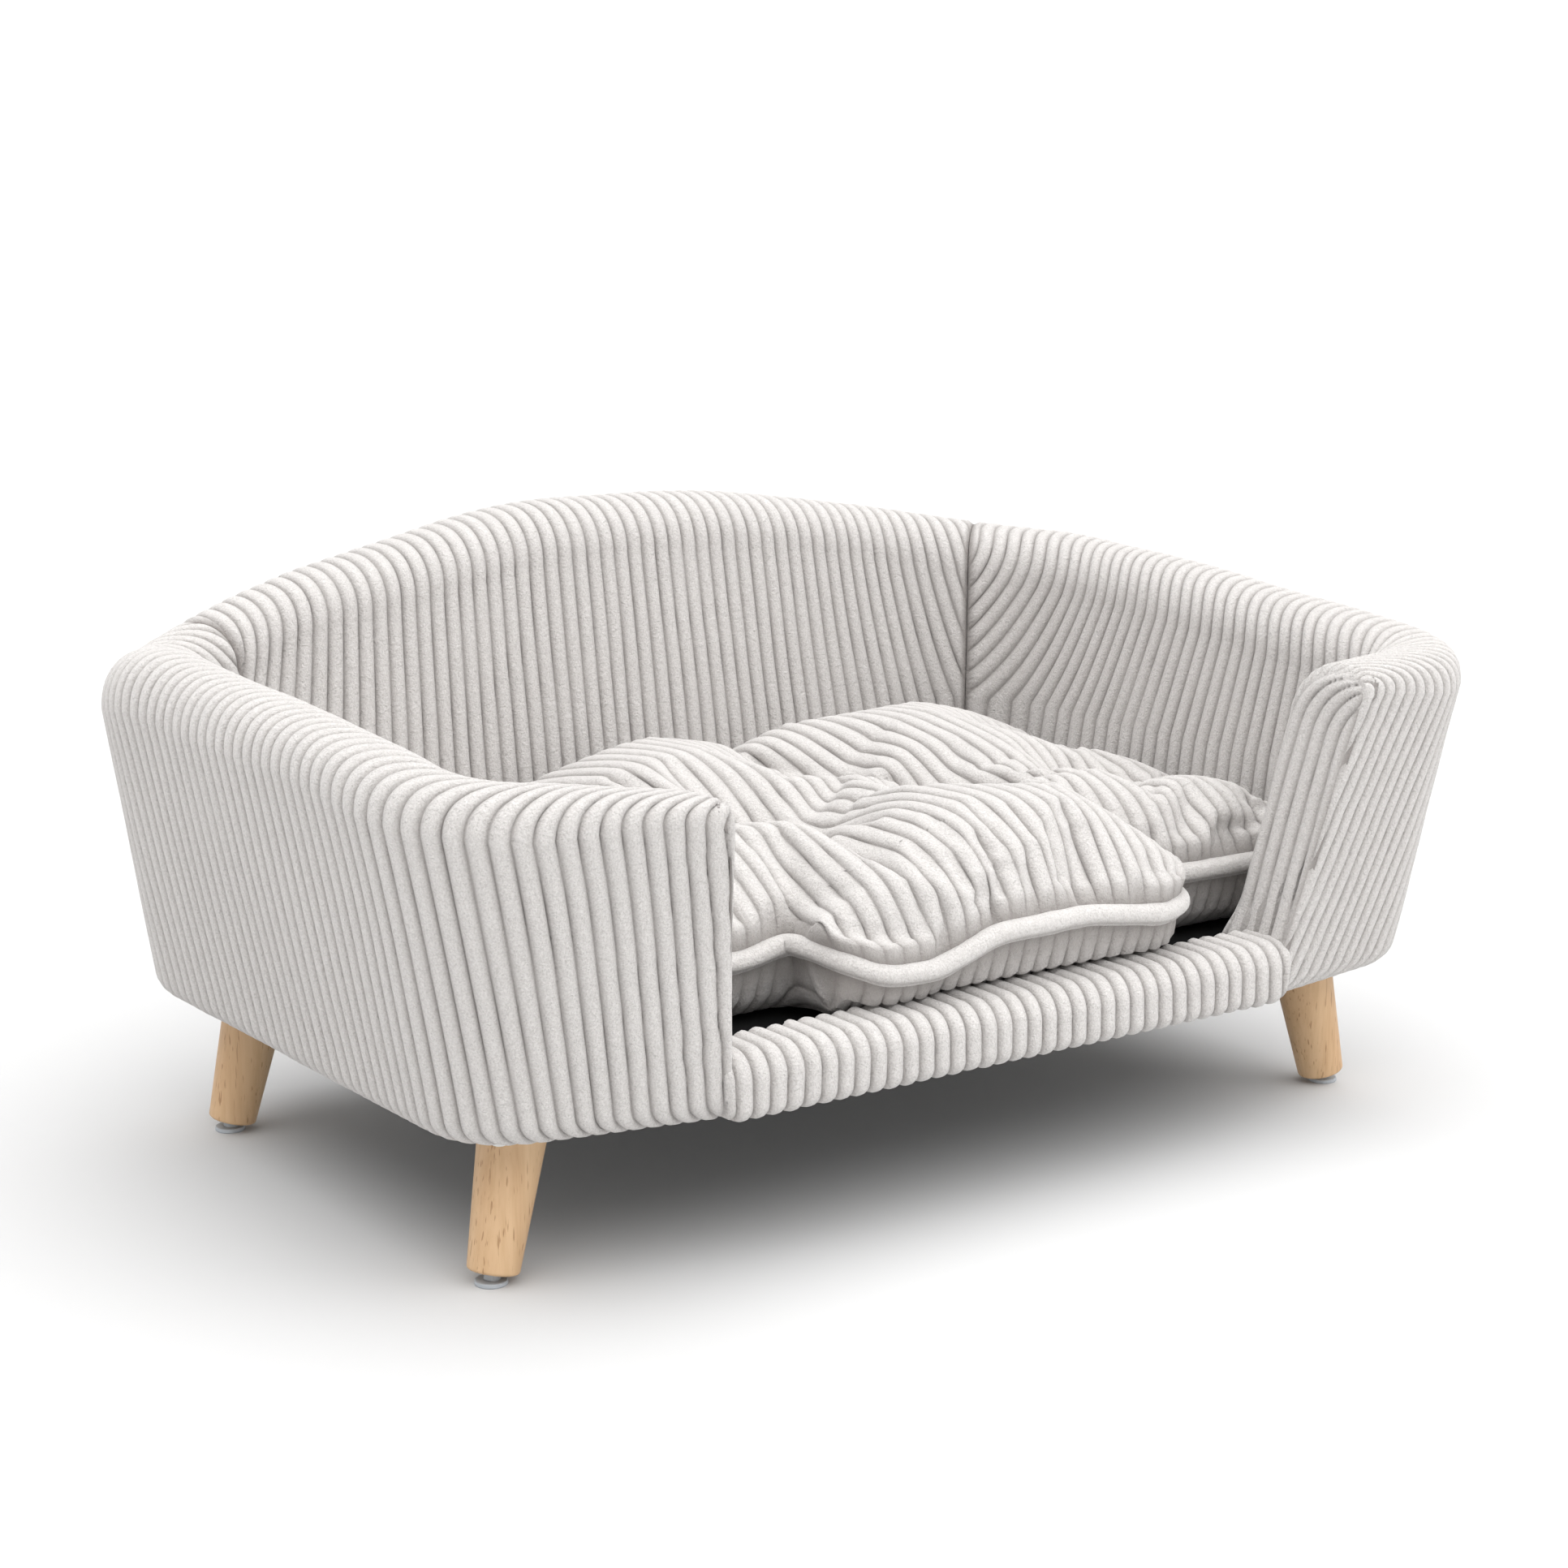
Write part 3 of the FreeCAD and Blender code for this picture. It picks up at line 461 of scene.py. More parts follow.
def wall_row(kind, value, crest, softness):
    """x, y, z of every station of the right half for one section row."""
    ones = np.ones(STATIONS)
    high, full_out, crest_at = crown_form(softness)
    if kind == "crown":
        ox, oy = half_plan(0.0, crest - high)
        ix, iy = half_plan(wall_thickness(crest - CROWN_IN), crest - CROWN_IN)
        outer = math.cos(value) > 0.0
        full = full_out if outer else FULL_IN
        side = abs(math.cos(value)) ** full
        drop = (high if outer else CROWN_IN) * (1.0 - math.sin(value) ** full)
        through = crest_at * (1.0 - side) if outer else crest_at + (1.0 - crest_at) * side
        return ox + (ix - ox) * through, oy + (iy - oy) * through, crest - drop
    if kind == "under":
        z = BODY_Z * ones
        inset = value
    elif kind == "lip":
        z = BODY_Z + LIP * (1.0 - math.cos(value)) * ones
        inset = LIP * (1.0 - math.sin(value))
    elif kind == "outer":
        z = BODY_Z + LIP + value * (crest - high - BODY_Z - LIP)
        inset = 0.0
    elif kind == "inner":
        z = crest - CROWN_IN + value * (INNER_END - crest + CROWN_IN)
        inset = wall_thickness(z)
    else:
        z = (INNER_END - 0.004 - value * 0.0125) * ones
        inset = wall_thickness(z) - 0.002 - value * 0.006
    x, y = half_plan(inset, z)
    return x, y, z


def wall_surface(step, hand):
    """Dense points and outward normals of one half, seen as the right half."""
    rows = section_rows(step)
    crest = station_crests(hand)
    softness = station_softness(hand)
    lines = [np.stack(wall_row(kind, value, crest, softness), axis=-1) for kind, value in rows]
    points = np.stack(lines)
    across, along = np.gradient(points, axis=(0, 1))
    return rows, points, unit(np.cross(along, across))


def reach(values, level, run, first=0):
    """Distance along a row where a rising list of values reaches level."""
    place = np.interp(level, values, np.arange(len(values))) + first
    return float(np.interp(place, np.arange(len(run)), run))


def arc_length(line):
    steps = np.linalg.norm(np.diff(line, axis=0), axis=1)
    return np.concatenate([[0.0], np.cumsum(steps)])


def sample(places, run, line):
    """Values of a line at distances along it."""
    return np.stack([np.interp(places, run, column) for column in line.T], axis=-1)


def edge_drop(distance, radius):
    """How far a rounded edge lies below the face at a distance from it."""
    inside = np.clip(distance / radius, 0.0, 1.0)
    return radius * (1.0 - np.sqrt(np.clip(1.0 - (1.0 - inside) ** 2, 0.0, 1.0)))


def heel(y, z):
    """How far the padded wing bulges over the deck behind the rail."""
    foot = fade(z - DECK_Z, -0.004, 0.002) * (1.0 - fade(z - DECK_Z, 0.0, 0.034))
    return HEEL * foot * fade(y - FRONT, 0.036, 0.008)


def row_limits(which, line, run, hand):
    """Where the ribs of one row start and stop, and the row's own zero."""
    past = (line[:, 1] - SEAM_Y) - SEAM_TURN[hand] * (line[:, 0] - SEAM_X)
    seam = reach(past, 0.0, run)
    if which == "back":
        return seam + SEAM_GAP - run[-1], 0.0, run[-1]
    x, y, z = line[:HALF_COUNTS[0] + 20].T
    inside = x - (OPENING_HALF + (z - BODY_Z) * LEAN[hand]) + heel(y, z)
    end = reach(inside, 0.0, run)
    first = sum(HALF_COUNTS[:2]) - 10
    zero = reach(line[first:first + HALF_COUNTS[2] + 20, 1], SIDE_MID, run, first)
    return end - zero, seam - SEAM_GAP - zero, zero


def foot_round(z):
    """Rounding radius at the wing end: soft above, square down at the deck."""
    return EDGE_FOOT + (EDGE_ROUND - EDGE_FOOT) * fade(z, 0.112, 0.030)


def end_round(rows):
    """Rounding radius at the wing end for each row: a tight seam on the
    outside, a soft turn over the crown and down the inner face."""
    sizes = []
    for kind, value in rows:
        if kind == "crown":
            sizes.append(EDGE_TIGHT + (EDGE_ROUND - EDGE_TIGHT) * fade(value, 0.5, 1.2))
        elif kind == "inner":
            sizes.append(foot_round(INNER_HIGH + value * (INNER_END - INNER_HIGH)))
        else:
            sizes.append(foot_round(INNER_END) if kind == "foot" else EDGE_TIGHT)
    return np.array(sizes, float)


def inner_share(rows):
    """How far each row lies round to the inner face, 0 to 1."""
    level = {"under": 0.0, "lip": 0.0, "outer": 0.0, "inner": 1.0, "foot": 1.0}
    return [level.get(kind, fade(value / math.pi, 0.375, 0.625)) for kind, value in rows]


def rib_place(which, u, low, high, z, share, hand):
    """Where a place lies across the ribs: they turn near the wing's end and
    spread away from the corner seams on the inner face."""
    strength, reach = FAN[which]
    strength = strength * share
    height = np.maximum(z, 0.20) - 0.26
    distance = high - u if which == "arm" else u - low
    near = np.exp(-distance / reach)
    pulled = distance - 0.25 * strength ** 2 * reach * (1.0 - near ** 2)
    spread = strength * near * height
    if which == "back":
        return low + pulled - spread + (high - (low + pulled - spread)[-1])
    wing = np.clip(1.0 - (u - low) / WING_REACH, 0.0, 1.0)
    return high - pulled + spread + WING_TURN[hand] * wing * (z - 0.18)


def cover(which, step, seed, hand, ribbed=True):
    """One wall cover as a grid: 'arm' is an arm with its wing, 'back' is half
    the back.  With ribbed off it is the foam's surface just under it."""
    rows, points, normals = wall_surface(step, hand)
    lengths = [arc_length(line) for line in points]
    limits = np.array([row_limits(which, line, run, hand) for line, run in zip(points, lengths)])
    lows, highs, zeros = limits[:, :1], limits[:, 1:2], limits[:, 2:]
    starts = lows
    if which == "arm":
        radius = end_round(rows)[:, None]
        starts = lows + (0.12 * radius if ribbed else FOAM_SHORT)
    sides = inner_share(rows)
    dense = [np.linspace(low, high, 500) for low, high in zip(starts[:, 0], highs[:, 0])]
    fields = []
    for r, (line, run) in enumerate(zip(points, lengths)):
        z = np.interp(dense[r] + zeros[r], run, line[:, 2])
        fields.append(rib_place(which, dense[r], lows[r], highs[r], z, sides[r], hand))
    field_low = np.array([field[0] for field in fields])[:, None]
    field_high = np.array([field[-1] for field in fields])[:, None]
    if ribbed:
        columns = rib_columns(field_low.min(), field_high.max())
    else:
        columns = np.linspace(field_low.min(), field_high.max(), 90)
    if which == "back":
        columns = columns[columns <= TINY]
    rib = np.clip(columns[None, :], field_low, field_high)
    u = np.stack([np.interp(rib[r], fields[r], dense[r]) for r in range(len(rows))])
    grid = np.stack([sample(*row) for row in zip(u + zeros, lengths, points)])
    norm = unit(np.stack([sample(*row) for row in zip(u + zeros, lengths, normals)]))
    middle = grid[:, grid.shape[1] // 2]
    v = arc_length(middle)[:, None] + 0.0 * u
    drift = 0.0007 * wobble(u * 14.0, v * 9.0, seed)
    if which == "arm":
        drift += 0.0011 * wobble(u * 45.0, v * 55.0, seed + 9.0) * np.exp((lows - u) / 0.03)
    height = rib_profile(rib + drift)
    plump = 1.0 + 0.10 * wobble(u * 40.0, v * 16.0, seed + 7.0)
    to_seam = u - lows if which == "back" else highs - u
    tuck = smooth(to_seam / 0.0045)
    seam_depth = 0.0010 + 0.0020 * np.array(sides)[:, None]
    lift = (RIB_OUT - RIB_DEEP * (1.0 - height)) * plump * tuck - seam_depth * (1.0 - tuck)
    lift += 0.0010 * wobble(u * 9.0, v * 7.0, seed + 3.0)
    if not ribbed:
        lift = -FOAM_UNDER - 0.004 * (1.0 - tuck)
    if which == "arm":
        lift -= edge_drop(u - lows, radius)
    for r, (kind, _) in enumerate(rows):
        if kind == "foot":
            lift[r] = 0.0 if ribbed else -FOAM_UNDER
        if kind == "under":
            lift[r] = np.minimum(lift[r], 0.0010)
    grid = grid + norm * lift[..., None]
    inside = (columns[None, :] > field_low - TINY) & (columns[None, :] < field_high + TINY)
    inside = inside | np.roll(inside, -1, axis=0)
    keep = inside[:, :-1] | inside[:, 1:]
    # height * tuck is the pile mask: painted shade in the grooves and where the cover tucks into
    # its seams
    return grid, height * tuck, keep


def mirrored(grid):
    flipped = grid[:, ::-1].copy()
    flipped[..., 0] *= -1.0
    return flipped


def wall_grid(name, which, step, seed, hand, ribbed=True):
    """One arm, or the whole back, as an object."""
    if which == "arm":
        grid, pile, keep = cover("arm", step, seed, hand, ribbed)
        if hand < 0:
            grid, pile, keep = mirrored(grid), pile[:, ::-1], keep[:, ::-1]
        return grid_object(name, grid, pile, keep, close_rows=True)
    right, right_pile, right_keep = cover("back", step, seed, 1.0, ribbed)
    left, left_pile, left_keep = cover("back", step, seed + 1.0, -1.0, ribbed)
    middle = 0.5 * (right[:, -1] + left[:, -1])
    middle[:, 0] = 0.0
    right[:, -1] = middle
    left[:, -1] = middle
    grid = np.concatenate([right[:, :-1], mirrored(left)], axis=1)
    pile = np.concatenate([right_pile[:, :-1], left_pile[:, ::-1]], axis=1)
    keep = np.concatenate([right_keep, left_keep[:, ::-1]], axis=1)
    return grid_object(name, grid, pile, keep, close_rows=True)


def end_outline(depth, crest, thick):
    """Height of the wing end's outline at a depth from its inner edge."""
    high, full_out, crest_at = crown_form(0.0)
    through = 1.0 - np.clip(depth / thick, 0.0, 1.0)
    outer = np.clip((crest_at - through) / crest_at, 0.0, 1.0)
    inner = np.clip((through - crest_at) / (1.0 - crest_at), 0.0, 1.0)
    outer_drop = high * (1.0 - (1.0 - outer ** (2.0 / full_out)) ** (0.5 * full_out))
    inner_drop = CROWN_IN * (1.0 - (1.0 - inner ** (2.0 / FULL_IN)) ** (0.5 * FULL_IN))
    return crest - outer_drop - inner_drop


def wing_end(name, hand, seed):
    """Fabric over the wing's end: the inner face's ribs carry on round its
    inner edge, run up the end and bend forward under the crown."""
    crest = station_crests(hand)[HALF_COUNTS[0] // 3]
    lean = LEAN[hand]
    heights = np.concatenate([np.arange(BODY_Z + 0.004, crest, 0.0016), [crest]])
    depths = np.linspace(0.0, 1.0, 54)
    z = np.repeat(heights[:, None], len(depths), axis=1)
    clamped = np.minimum(z, crest - CROWN_TIGHT)
    thick = wall_thickness(clamped)
    norm = math.hypot(1.0, WING_SLOPE)
    x = OPENING_HALF + (z - BODY_Z) * lean
    grow = (clamped - BODY_Z) * FLARE
    front_y = WING_Y + WING_SLOPE * (x - OPENING_HALF - grow * WING_SLOPE / norm) - grow / norm
    back_y = front_y + thick * norm
    span = back_y - front_y
    depth = depths[None, :] * span
    # ribs: how far the outline has to slide forward and down to reach a point
    slide_low = np.zeros_like(depth)
    slide_high = depth.copy()
    for _ in range(24):
        half = 0.5 * (slide_low + slide_high)
        top = end_outline(depth - half, crest, span)
        inside = z + END_SLIDE * half < top
        slide_low = np.where(inside, half, slide_low)
        slide_high = np.where(inside, slide_high, half)
    to_edge = np.minimum(slide_low, np.maximum(end_outline(depth, crest, span) - z, 0.0))
    to_seam = span - depth
    drift = 0.0006 * wobble(slide_low * 14.0, z * 12.0, seed)
    height = rib_profile(slide_low + drift - 0.25 * PITCH)
    tuck = smooth(to_seam / 0.006)
    lift = (RIB_OUT - RIB_DEEP * (1.0 - height)) * tuck - 0.0006 * (1.0 - tuck)
    lift -= edge_drop(to_edge + 0.0012, foot_round(z)) + edge_drop(to_seam + 0.0006, EDGE_TIGHT)
    lift += heel(back_y - depth, z)
    slant = math.hypot(1.0, lean)
    grid = np.stack([hand * (x - lift / slant), back_y - depth, z + lift * lean / slant], axis=-1)
    outside = z > end_outline(depth, crest, span) + 0.0022
    keep = ~(outside[:-1, :-1] & outside[:-1, 1:] & outside[1:, 1:] & outside[1:, :-1])
    # height * tuck is the pile mask: painted shade in the grooves and at the seam
    return grid_object(name, grid, height * tuck, keep)


def build_covers():
    """The wall covers with their wing ends, and the foam inside them."""
    pieces = []
    walls = (("arm_right", 1.0, 3.0), ("arm_left", -1.0, 11.0), ("back", 1.0, 21.0))
    for wall, hand, seed in walls:
        which = wall.split("_")[0]
        fabric = wall_grid("cover_" + wall + "_fabric", which, COVER_STEP, seed, hand)
        pieces.append((finish_mesh(fabric, CORDUROY), "cover_" + wall, "corduroy"))
        foam = wall_grid("padding_" + wall + "_foam", which, FOAM_STEP, seed, hand, False)
        pieces.append((finish_mesh(foam, FOAM), "padding_" + wall, "padding"))
        if which == "arm":
            node = wall.replace("arm", "cover_wing_end")
            end = finish_mesh(wing_end(node + "_fabric", hand, seed + 40.0), CORDUROY, cap=False)
            thicken(end, END_CLOTH)
            pieces.append((end, node, "corduroy"))
    for obj, node, slot in pieces:
        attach(obj, "frame")
        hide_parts(node)


def thicken(obj, depth):
    """Give an open sheet a back, applied to the mesh."""
    solid = obj.modifiers.new("solid", "SOLIDIFY")
    solid.thickness = depth
    solid.offset = -1.0
    bpy.context.view_layer.update()
    depsgraph = bpy.context.evaluated_depsgraph_get()
    obj.data = bpy.data.meshes.new_from_object(obj.evaluated_get(depsgraph))
    obj.modifiers.clear()


# ---- front rail
def rail_section():
    """Depth and height over the body's underside, from the underside up the
    front, over the top and down behind."""
    radius = RAIL_TOP - BODY_Z - RAIL_SHOULDER
    high = RAIL_TOP - BODY_Z
    rows = [(0.030, 0.0), (0.018, 0.0)]
    for angle in np.linspace(0.0, 0.5 * math.pi, 6):
        rows.append((RAIL_FOOT * (1.0 - math.sin(angle)), RAIL_FOOT * (1.0 - math.cos(angle))))
    for part in np.linspace(0.0, 1.0, 5)[1:]:
        rows.append((0.0, RAIL_FOOT + part * (RAIL_SHOULDER - RAIL_FOOT)))
    for angle in np.linspace(0.0, 0.5 * math.pi, 12)[1:]:
        rows.append((radius * (1.0 - math.cos(angle)), RAIL_SHOULDER + radius * math.sin(angle)))
    for part in np.linspace(0.0, 1.0, 9)[1:]:
        rows.append((radius + part * (0.036 - radius), high))
    rows += [(0.0378, high - 0.0012), (0.0382, high - 0.0035), (0.0376, high - 0.0060)]
    return np.array(rows)


def build_rail(seed=31.0):
    """The padded rail's cover, its ribs front to back."""
    section = rail_section()
    tangent = np.gradient(section, axis=0)
    outward = unit(np.stack([-tangent[:, 1], tangent[:, 0]], axis=-1))
    deep, high = section[:, :1], section[:, 1:]
    left = -(OPENING_HALF + LEAN[-1.0] * high + RAIL_PRESS)
    right = OPENING_HALF + LEAN[1.0] * high + RAIL_PRESS
    columns = rib_columns(left.min(), right.max())
    u = np.clip(columns[None, :], left, right)
    v = arc_length(section)[:, None] + 0.0 * u
    drift = 0.0006 * wobble(u * 20.0, v * 30.0, seed)
    height = rib_profile(u + drift)
    plump = 1.0 + 0.12 * wobble(u * 90.0, v * 20.0, seed + 2.0)
    lift = (RIB_OUT + 0.0002 - (RIB_DEEP + 0.0006) * (1.0 - height)) * plump
    lift -= edge_drop(np.minimum(u - left, right - u), 0.006)
    ends = 0.0020 * wobble(np.round(u / PITCH) * 7.3, v * 0.0, seed + 5.0)
    grid = np.empty(u.shape + (3,))
    grid[..., 0] = u
    grid[..., 1] = FRONT + deep + outward[:, :1] * lift
    grid[..., 2] = BODY_Z + high + outward[:, 1:] * lift
    grid[..., 1] += fade(deep, 0.028, 0.010) * (high > RAIL_SHOULDER) * (ends + 0.0016 * height)
    inside = (columns[None, :] < right + TINY) & (columns[None, :] > left - TINY)
    keep = inside[:-1] | inside[1:]
    keep = keep[:, :-1] | keep[:, 1:]
    # the rib height is the pile mask: painted shade in the rail's grooves
    rail = grid_object("rail_cover_fabric", grid, height, keep)
    finish_mesh(rail, CORDUROY)
    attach(rail, "frame")
    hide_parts("rail_cover")


# ---- cushion
CELL = 0.5 * PITCH  # spacing of the cloth grid's columns
SIDE = 53  # columns each side of the middle
COLUMNS = 2 * SIDE + 1
TONGUE_LEFT = -20  # columns where the tongue starts and stops
TONGUE_RIGHT = 28
LEFT = TONGUE_LEFT + SIDE  # the same, counted from the left edge
RIGHT = TONGUE_RIGHT + SIDE
TONGUE_ROWS = 12
MAIN_ROWS = 58
ROWS = TONGUE_ROWS + MAIN_ROWS + 1
MAIN_FRONT = 0.078  # plan of the seam, measured back from the rail's front
MAIN_REAR = 0.408
TONGUE_FRONT = 0.020
REAR_CORNER = 0.050  # plan rounding of the cushion's corners
FRONT_CORNER = 0.028
TONGUE_CORNER = 0.040
SEAM_Z = 0.150  # height of the seam at the rear
TOP_RISE = 0.037  # filling above the seam
TOP_REACH = 0.070  # how far in from the seam the top is full
BELLY_REACH = 0.038  # and the underside
BELLY_Z = DECK_Z + 0.0040
# seam heights along the tongue's front edge, and at its two notches
SEAM_X_STOPS = (-0.300, -0.140, -0.110, -0.085, -0.050, -0.007, 0.060, 0.117, 0.145, 0.176, 0.300)
SEAM_Z_STOPS = (0.149, 0.148, 0.155, 0.143, 0.142, 0.156, 0.157, 0.149, 0.151, 0.153, 0.150)
# x, y and height of the places where thread pulls the cushion in
TUFTS = (
    (-0.165, 0.195, 0.160), (-0.033, 0.199, 0.156), (0.095, 0.201, 0.156), (0.213, 0.194, 0.165),
    (-0.125, 0.300, 0.178), (0.060, 0.272, 0.166), (0.247, 0.279, 0.174),
)
TUFT_UNDER = 0.124  # height of their lower ends
TUFT_WIDE = 0.022  # width of a dimple above, and below
TUFT_NARROW = 0.018
CLOTH_FRAMES = 26
CLOTH = {
    "quality": 6,
    "mass": 0.3,
    "air_damping": 3.0,
    "tension_stiffness": 20.0,
    "compression_stiffness": 20.0,
    "shear_stiffness": 8.0,
    "bending_stiffness": 5.0,
    "tension_damping": 25.0,
    "compression_damping": 25.0,
    "shear_damping": 25.0,
    "use_pressure": True,
    "uniform_pressure_force": 20.0,
    "vertex_group_mass": "held",
    "vertex_group_shrink": "under",
    "shrink_min": -0.105,     # the underside's slack
    "shrink_max": 0.0,
}
FILLING_UNDER = 0.0060  # filling below the fabric's surface
FILLING_BACK = 0.009  # and in from the seam
PIPING = 0.0063  # radius of the piping
TIE = 0.0009  # and of a tufting thread
UP = (0.0, 0.0, 1.0)
REARWARD = (0.0, 1.0, 0.0)


def step_in(distance, radius):
    """How far a rounded corner pulls an edge in, near the edge's end."""
    near = np.clip(radius - distance, 0.0, radius)
    return radius - np.sqrt(radius ** 2 - near ** 2)


def cushion_plan():
    """Cloth grid in plan: positions, which exist, and which lie on the seam."""
    column = np.arange(-SIDE, SIDE + 1)
    x = column * CELL
    edge = SIDE * CELL - np.abs(x)
    rear = MAIN_REAR - step_in(edge, REAR_CORNER)
    front = MAIN_FRONT + step_in(edge, FRONT_CORNER)
    tip = np.maximum(np.minimum(x - TONGUE_LEFT * CELL, TONGUE_RIGHT * CELL - x), 0.0)
    tongue = TONGUE_FRONT + step_in(tip, TONGUE_CORNER)
    plan = np.zeros((ROWS, COLUMNS, 2))
    plan[..., 0] = x
    for row in range(TONGUE_ROWS):
        plan[row, :, 1] = tongue + (front - tongue) * row / TONGUE_ROWS
    for row in range(MAIN_ROWS + 1):
        plan[TONGUE_ROWS + row, :, 1] = front + (rear - front) * row / MAIN_ROWS
    exists = np.ones((ROWS, COLUMNS), bool)
    exists[:TONGUE_ROWS] = (column >= TONGUE_LEFT) & (column <= TONGUE_RIGHT)
    seam = np.zeros((ROWS, COLUMNS), bool)
    for place in seam_loop():
        seam[place] = True
    return plan, exists, seam


def seam_loop():
    """Grid places of the seam in order, once round the cushion."""
    loop = [(0, c) for c in range(LEFT, RIGHT)]
    loop += [(r, RIGHT) for r in range(TONGUE_ROWS)]
    loop += [(TONGUE_ROWS, c) for c in range(RIGHT, COLUMNS - 1)]
    loop += [(r, COLUMNS - 1) for r in range(TONGUE_ROWS, ROWS - 1)]
    loop += [(ROWS - 1, c) for c in range(COLUMNS - 1, 0, -1)]
    loop += [(r, 0) for r in range(ROWS - 1, TONGUE_ROWS, -1)]
    loop += [(TONGUE_ROWS, c) for c in range(0, LEFT)]
    loop += [(r, LEFT) for r in range(TONGUE_ROWS, 0, -1)]
    return loop


def seam_distance(plan, seam):
    """Distance of every grid place from the nearest seam point, in plan."""
    flat = plan.reshape(-1, 2)
    rim = plan[seam]
    gaps = np.sqrt(((flat[:, None, :] - rim[None]) ** 2).sum(-1)).min(1)
    return gaps.reshape(plan.shape[:2])


def pillow(distance, reach):
    """Share of the full height at a distance from the seam."""
    near = np.clip(distance / reach, 0.0, 1.0)
    return np.sqrt(1.0 - (1.0 - near) ** 2)


def cushion_start(plan, exists, seam):
    """Loosely filled shape that the cloth starts from: top and bottom."""
    x, y = plan[..., 0], plan[..., 1]
    seam_z = np.interp(x, SEAM_X_STOPS, SEAM_Z_STOPS)
    rearward = fade(y, 0.060, 0.080)
    seam_z = seam_z * (1.0 - rearward) + SEAM_Z * rearward
    distance = seam_distance(plan, seam)
    rise = TOP_RISE + (0.004 - 0.009 * smooth(-x / 0.120)) * np.clip((y - 0.1) / 0.25, 0.0, 1.0)
    top = seam_z + rise * pillow(distance, TOP_REACH)
    bottom = seam_z - (seam_z - BELLY_Z) * pillow(distance, BELLY_REACH)
    places = []
    for tuft_x, tuft_y, tuft_z in TUFTS:
        square = np.where(exists, (x - tuft_x) ** 2 + (y - tuft_y) ** 2, 9.0)
        places.append(np.unravel_index(np.argmin(square), square.shape))
        near = np.exp(-square / TUFT_WIDE ** 2)
        top = top * (1.0 - near) + tuft_z * near
        near = np.exp(-square / TUFT_NARROW ** 2)
        bottom = bottom * (1.0 - near) + TUFT_UNDER * near
    top[seam] = seam_z[seam]
    bottom[seam] = seam_z[seam]
    depth = FRONT + y
    return np.stack([x, depth, top], axis=-1), np.stack([x, depth, bottom], axis=-1), places


def inflate(top, bottom, exists, seam, places):
    """Blender cloth: two panels sewn at the seam, blown up between the tufts."""
    top_index = np.full(exists.shape, -1)
    top_index[exists] = np.arange(exists.sum())
    bottom_index = top_index.copy()
    free = exists & ~seam
    bottom_index[free] = exists.sum() + np.arange(free.sum())
    points = np.concatenate([top[exists], bottom[free]])
    whole = exists[:-1, :-1] & exists[:-1, 1:] & exists[1:, 1:] & exists[1:, :-1]

    def quads(index):
        corners = [index[:-1, :-1], index[:-1, 1:], index[1:, 1:], index[1:, :-1]]
        return np.stack(corners, axis=-1)[whole]

    faces = np.concatenate([quads(top_index), quads(bottom_index)[:, ::-1]])
    mesh = bpy.data.meshes.new("cushion_cloth")
    mesh.from_pydata(points.tolist(), [], faces.tolist())
    obj = add_object("cushion_cloth", mesh)
    held = top_index[seam].tolist()
    held += [int(index[place]) for index in (top_index, bottom_index) for place in places]
    obj.vertex_groups.new(name="held").add(held, 1.0, "REPLACE")
    obj.vertex_groups.new(name="under").add(bottom_index[free].tolist(), 1.0, "REPLACE")
    modifier = obj.modifiers.new("cloth", "CLOTH")
    for key, value in CLOTH.items():
        setattr(modifier.settings, key, value)
    modifier.settings.effector_weights.gravity = 0.0
    modifier.collision_settings.use_collision = False
    modifier.collision_settings.use_self_collision = False
    modifier.point_cache.frame_start = 1
    modifier.point_cache.frame_end = CLOTH_FRAMES
    for number in range(1, CLOTH_FRAMES + 1):
        bpy.context.scene.frame_set(number)
    shaped = obj.evaluated_get(bpy.context.evaluated_depsgraph_get())
    flat = np.zeros(len(points) * 3)
    shaped.data.vertices.foreach_get("co", flat)
    flat = flat.reshape(-1, 3)
    bpy.data.objects.remove(obj)
    bpy.context.scene.frame_set(1)
    top, bottom = top.copy(), bottom.copy()
    top[exists] = flat[top_index[exists]]
    bottom[exists] = flat[bottom_index[exists]]
    return top, bottom


def keep_clear(points):
    """Hold the cushion's fabric off the deck and inside the walls."""
    points = points.copy()
    behind = fade(points[..., 1] - FRONT, 0.041, 0.008)
    floor = (RAIL_TOP + 0.0045) * (1.0 - behind) + (DECK_Z + 0.0024) * behind
    points[..., 2] = np.maximum(points[..., 2], floor)
    inner = HALF_WIDTH + (points[..., 2] - BODY_Z) * FLARE - wall_thickness(points[..., 2]) - 0.004
    points[..., 0] = np.clip(points[..., 0], -inner, inner)
    back = inner - HALF_WIDTH + REAR_Y
    points[..., 1] = np.minimum(points[..., 1], back)
    return points


def spline_weights(part):
    """Weights of four neighbours for a smooth curve through the middle two."""
    square = part * part
    cube = square * part
    return np.stack([
        -0.5 * part + square - 0.5 * cube,
        1.0 - 2.5 * square + 1.5 * cube,
        0.5 * part + 2.0 * square - 1.5 * cube,
        -0.5 * square + 0.5 * cube,
    ], axis=-1)


def resample(grid, at, axis):
    """Smooth values of a grid at fractional places along one axis."""
    grid = np.moveaxis(grid, axis, 0)
    padded = np.concatenate([2.0 * grid[:1] - grid[1:2], grid, 2.0 * grid[-1:] - grid[-2:-1]])
    base = np.clip(np.floor(at).astype(int), 0, grid.shape[0] - 2)
    weight = spline_weights(at - base)
    shape = (-1,) + (1,) * (grid.ndim - 1)
    total = sum(weight[:, k].reshape(shape) * padded[base + k] for k in range(4))
    return np.moveaxis(total, 0, axis)


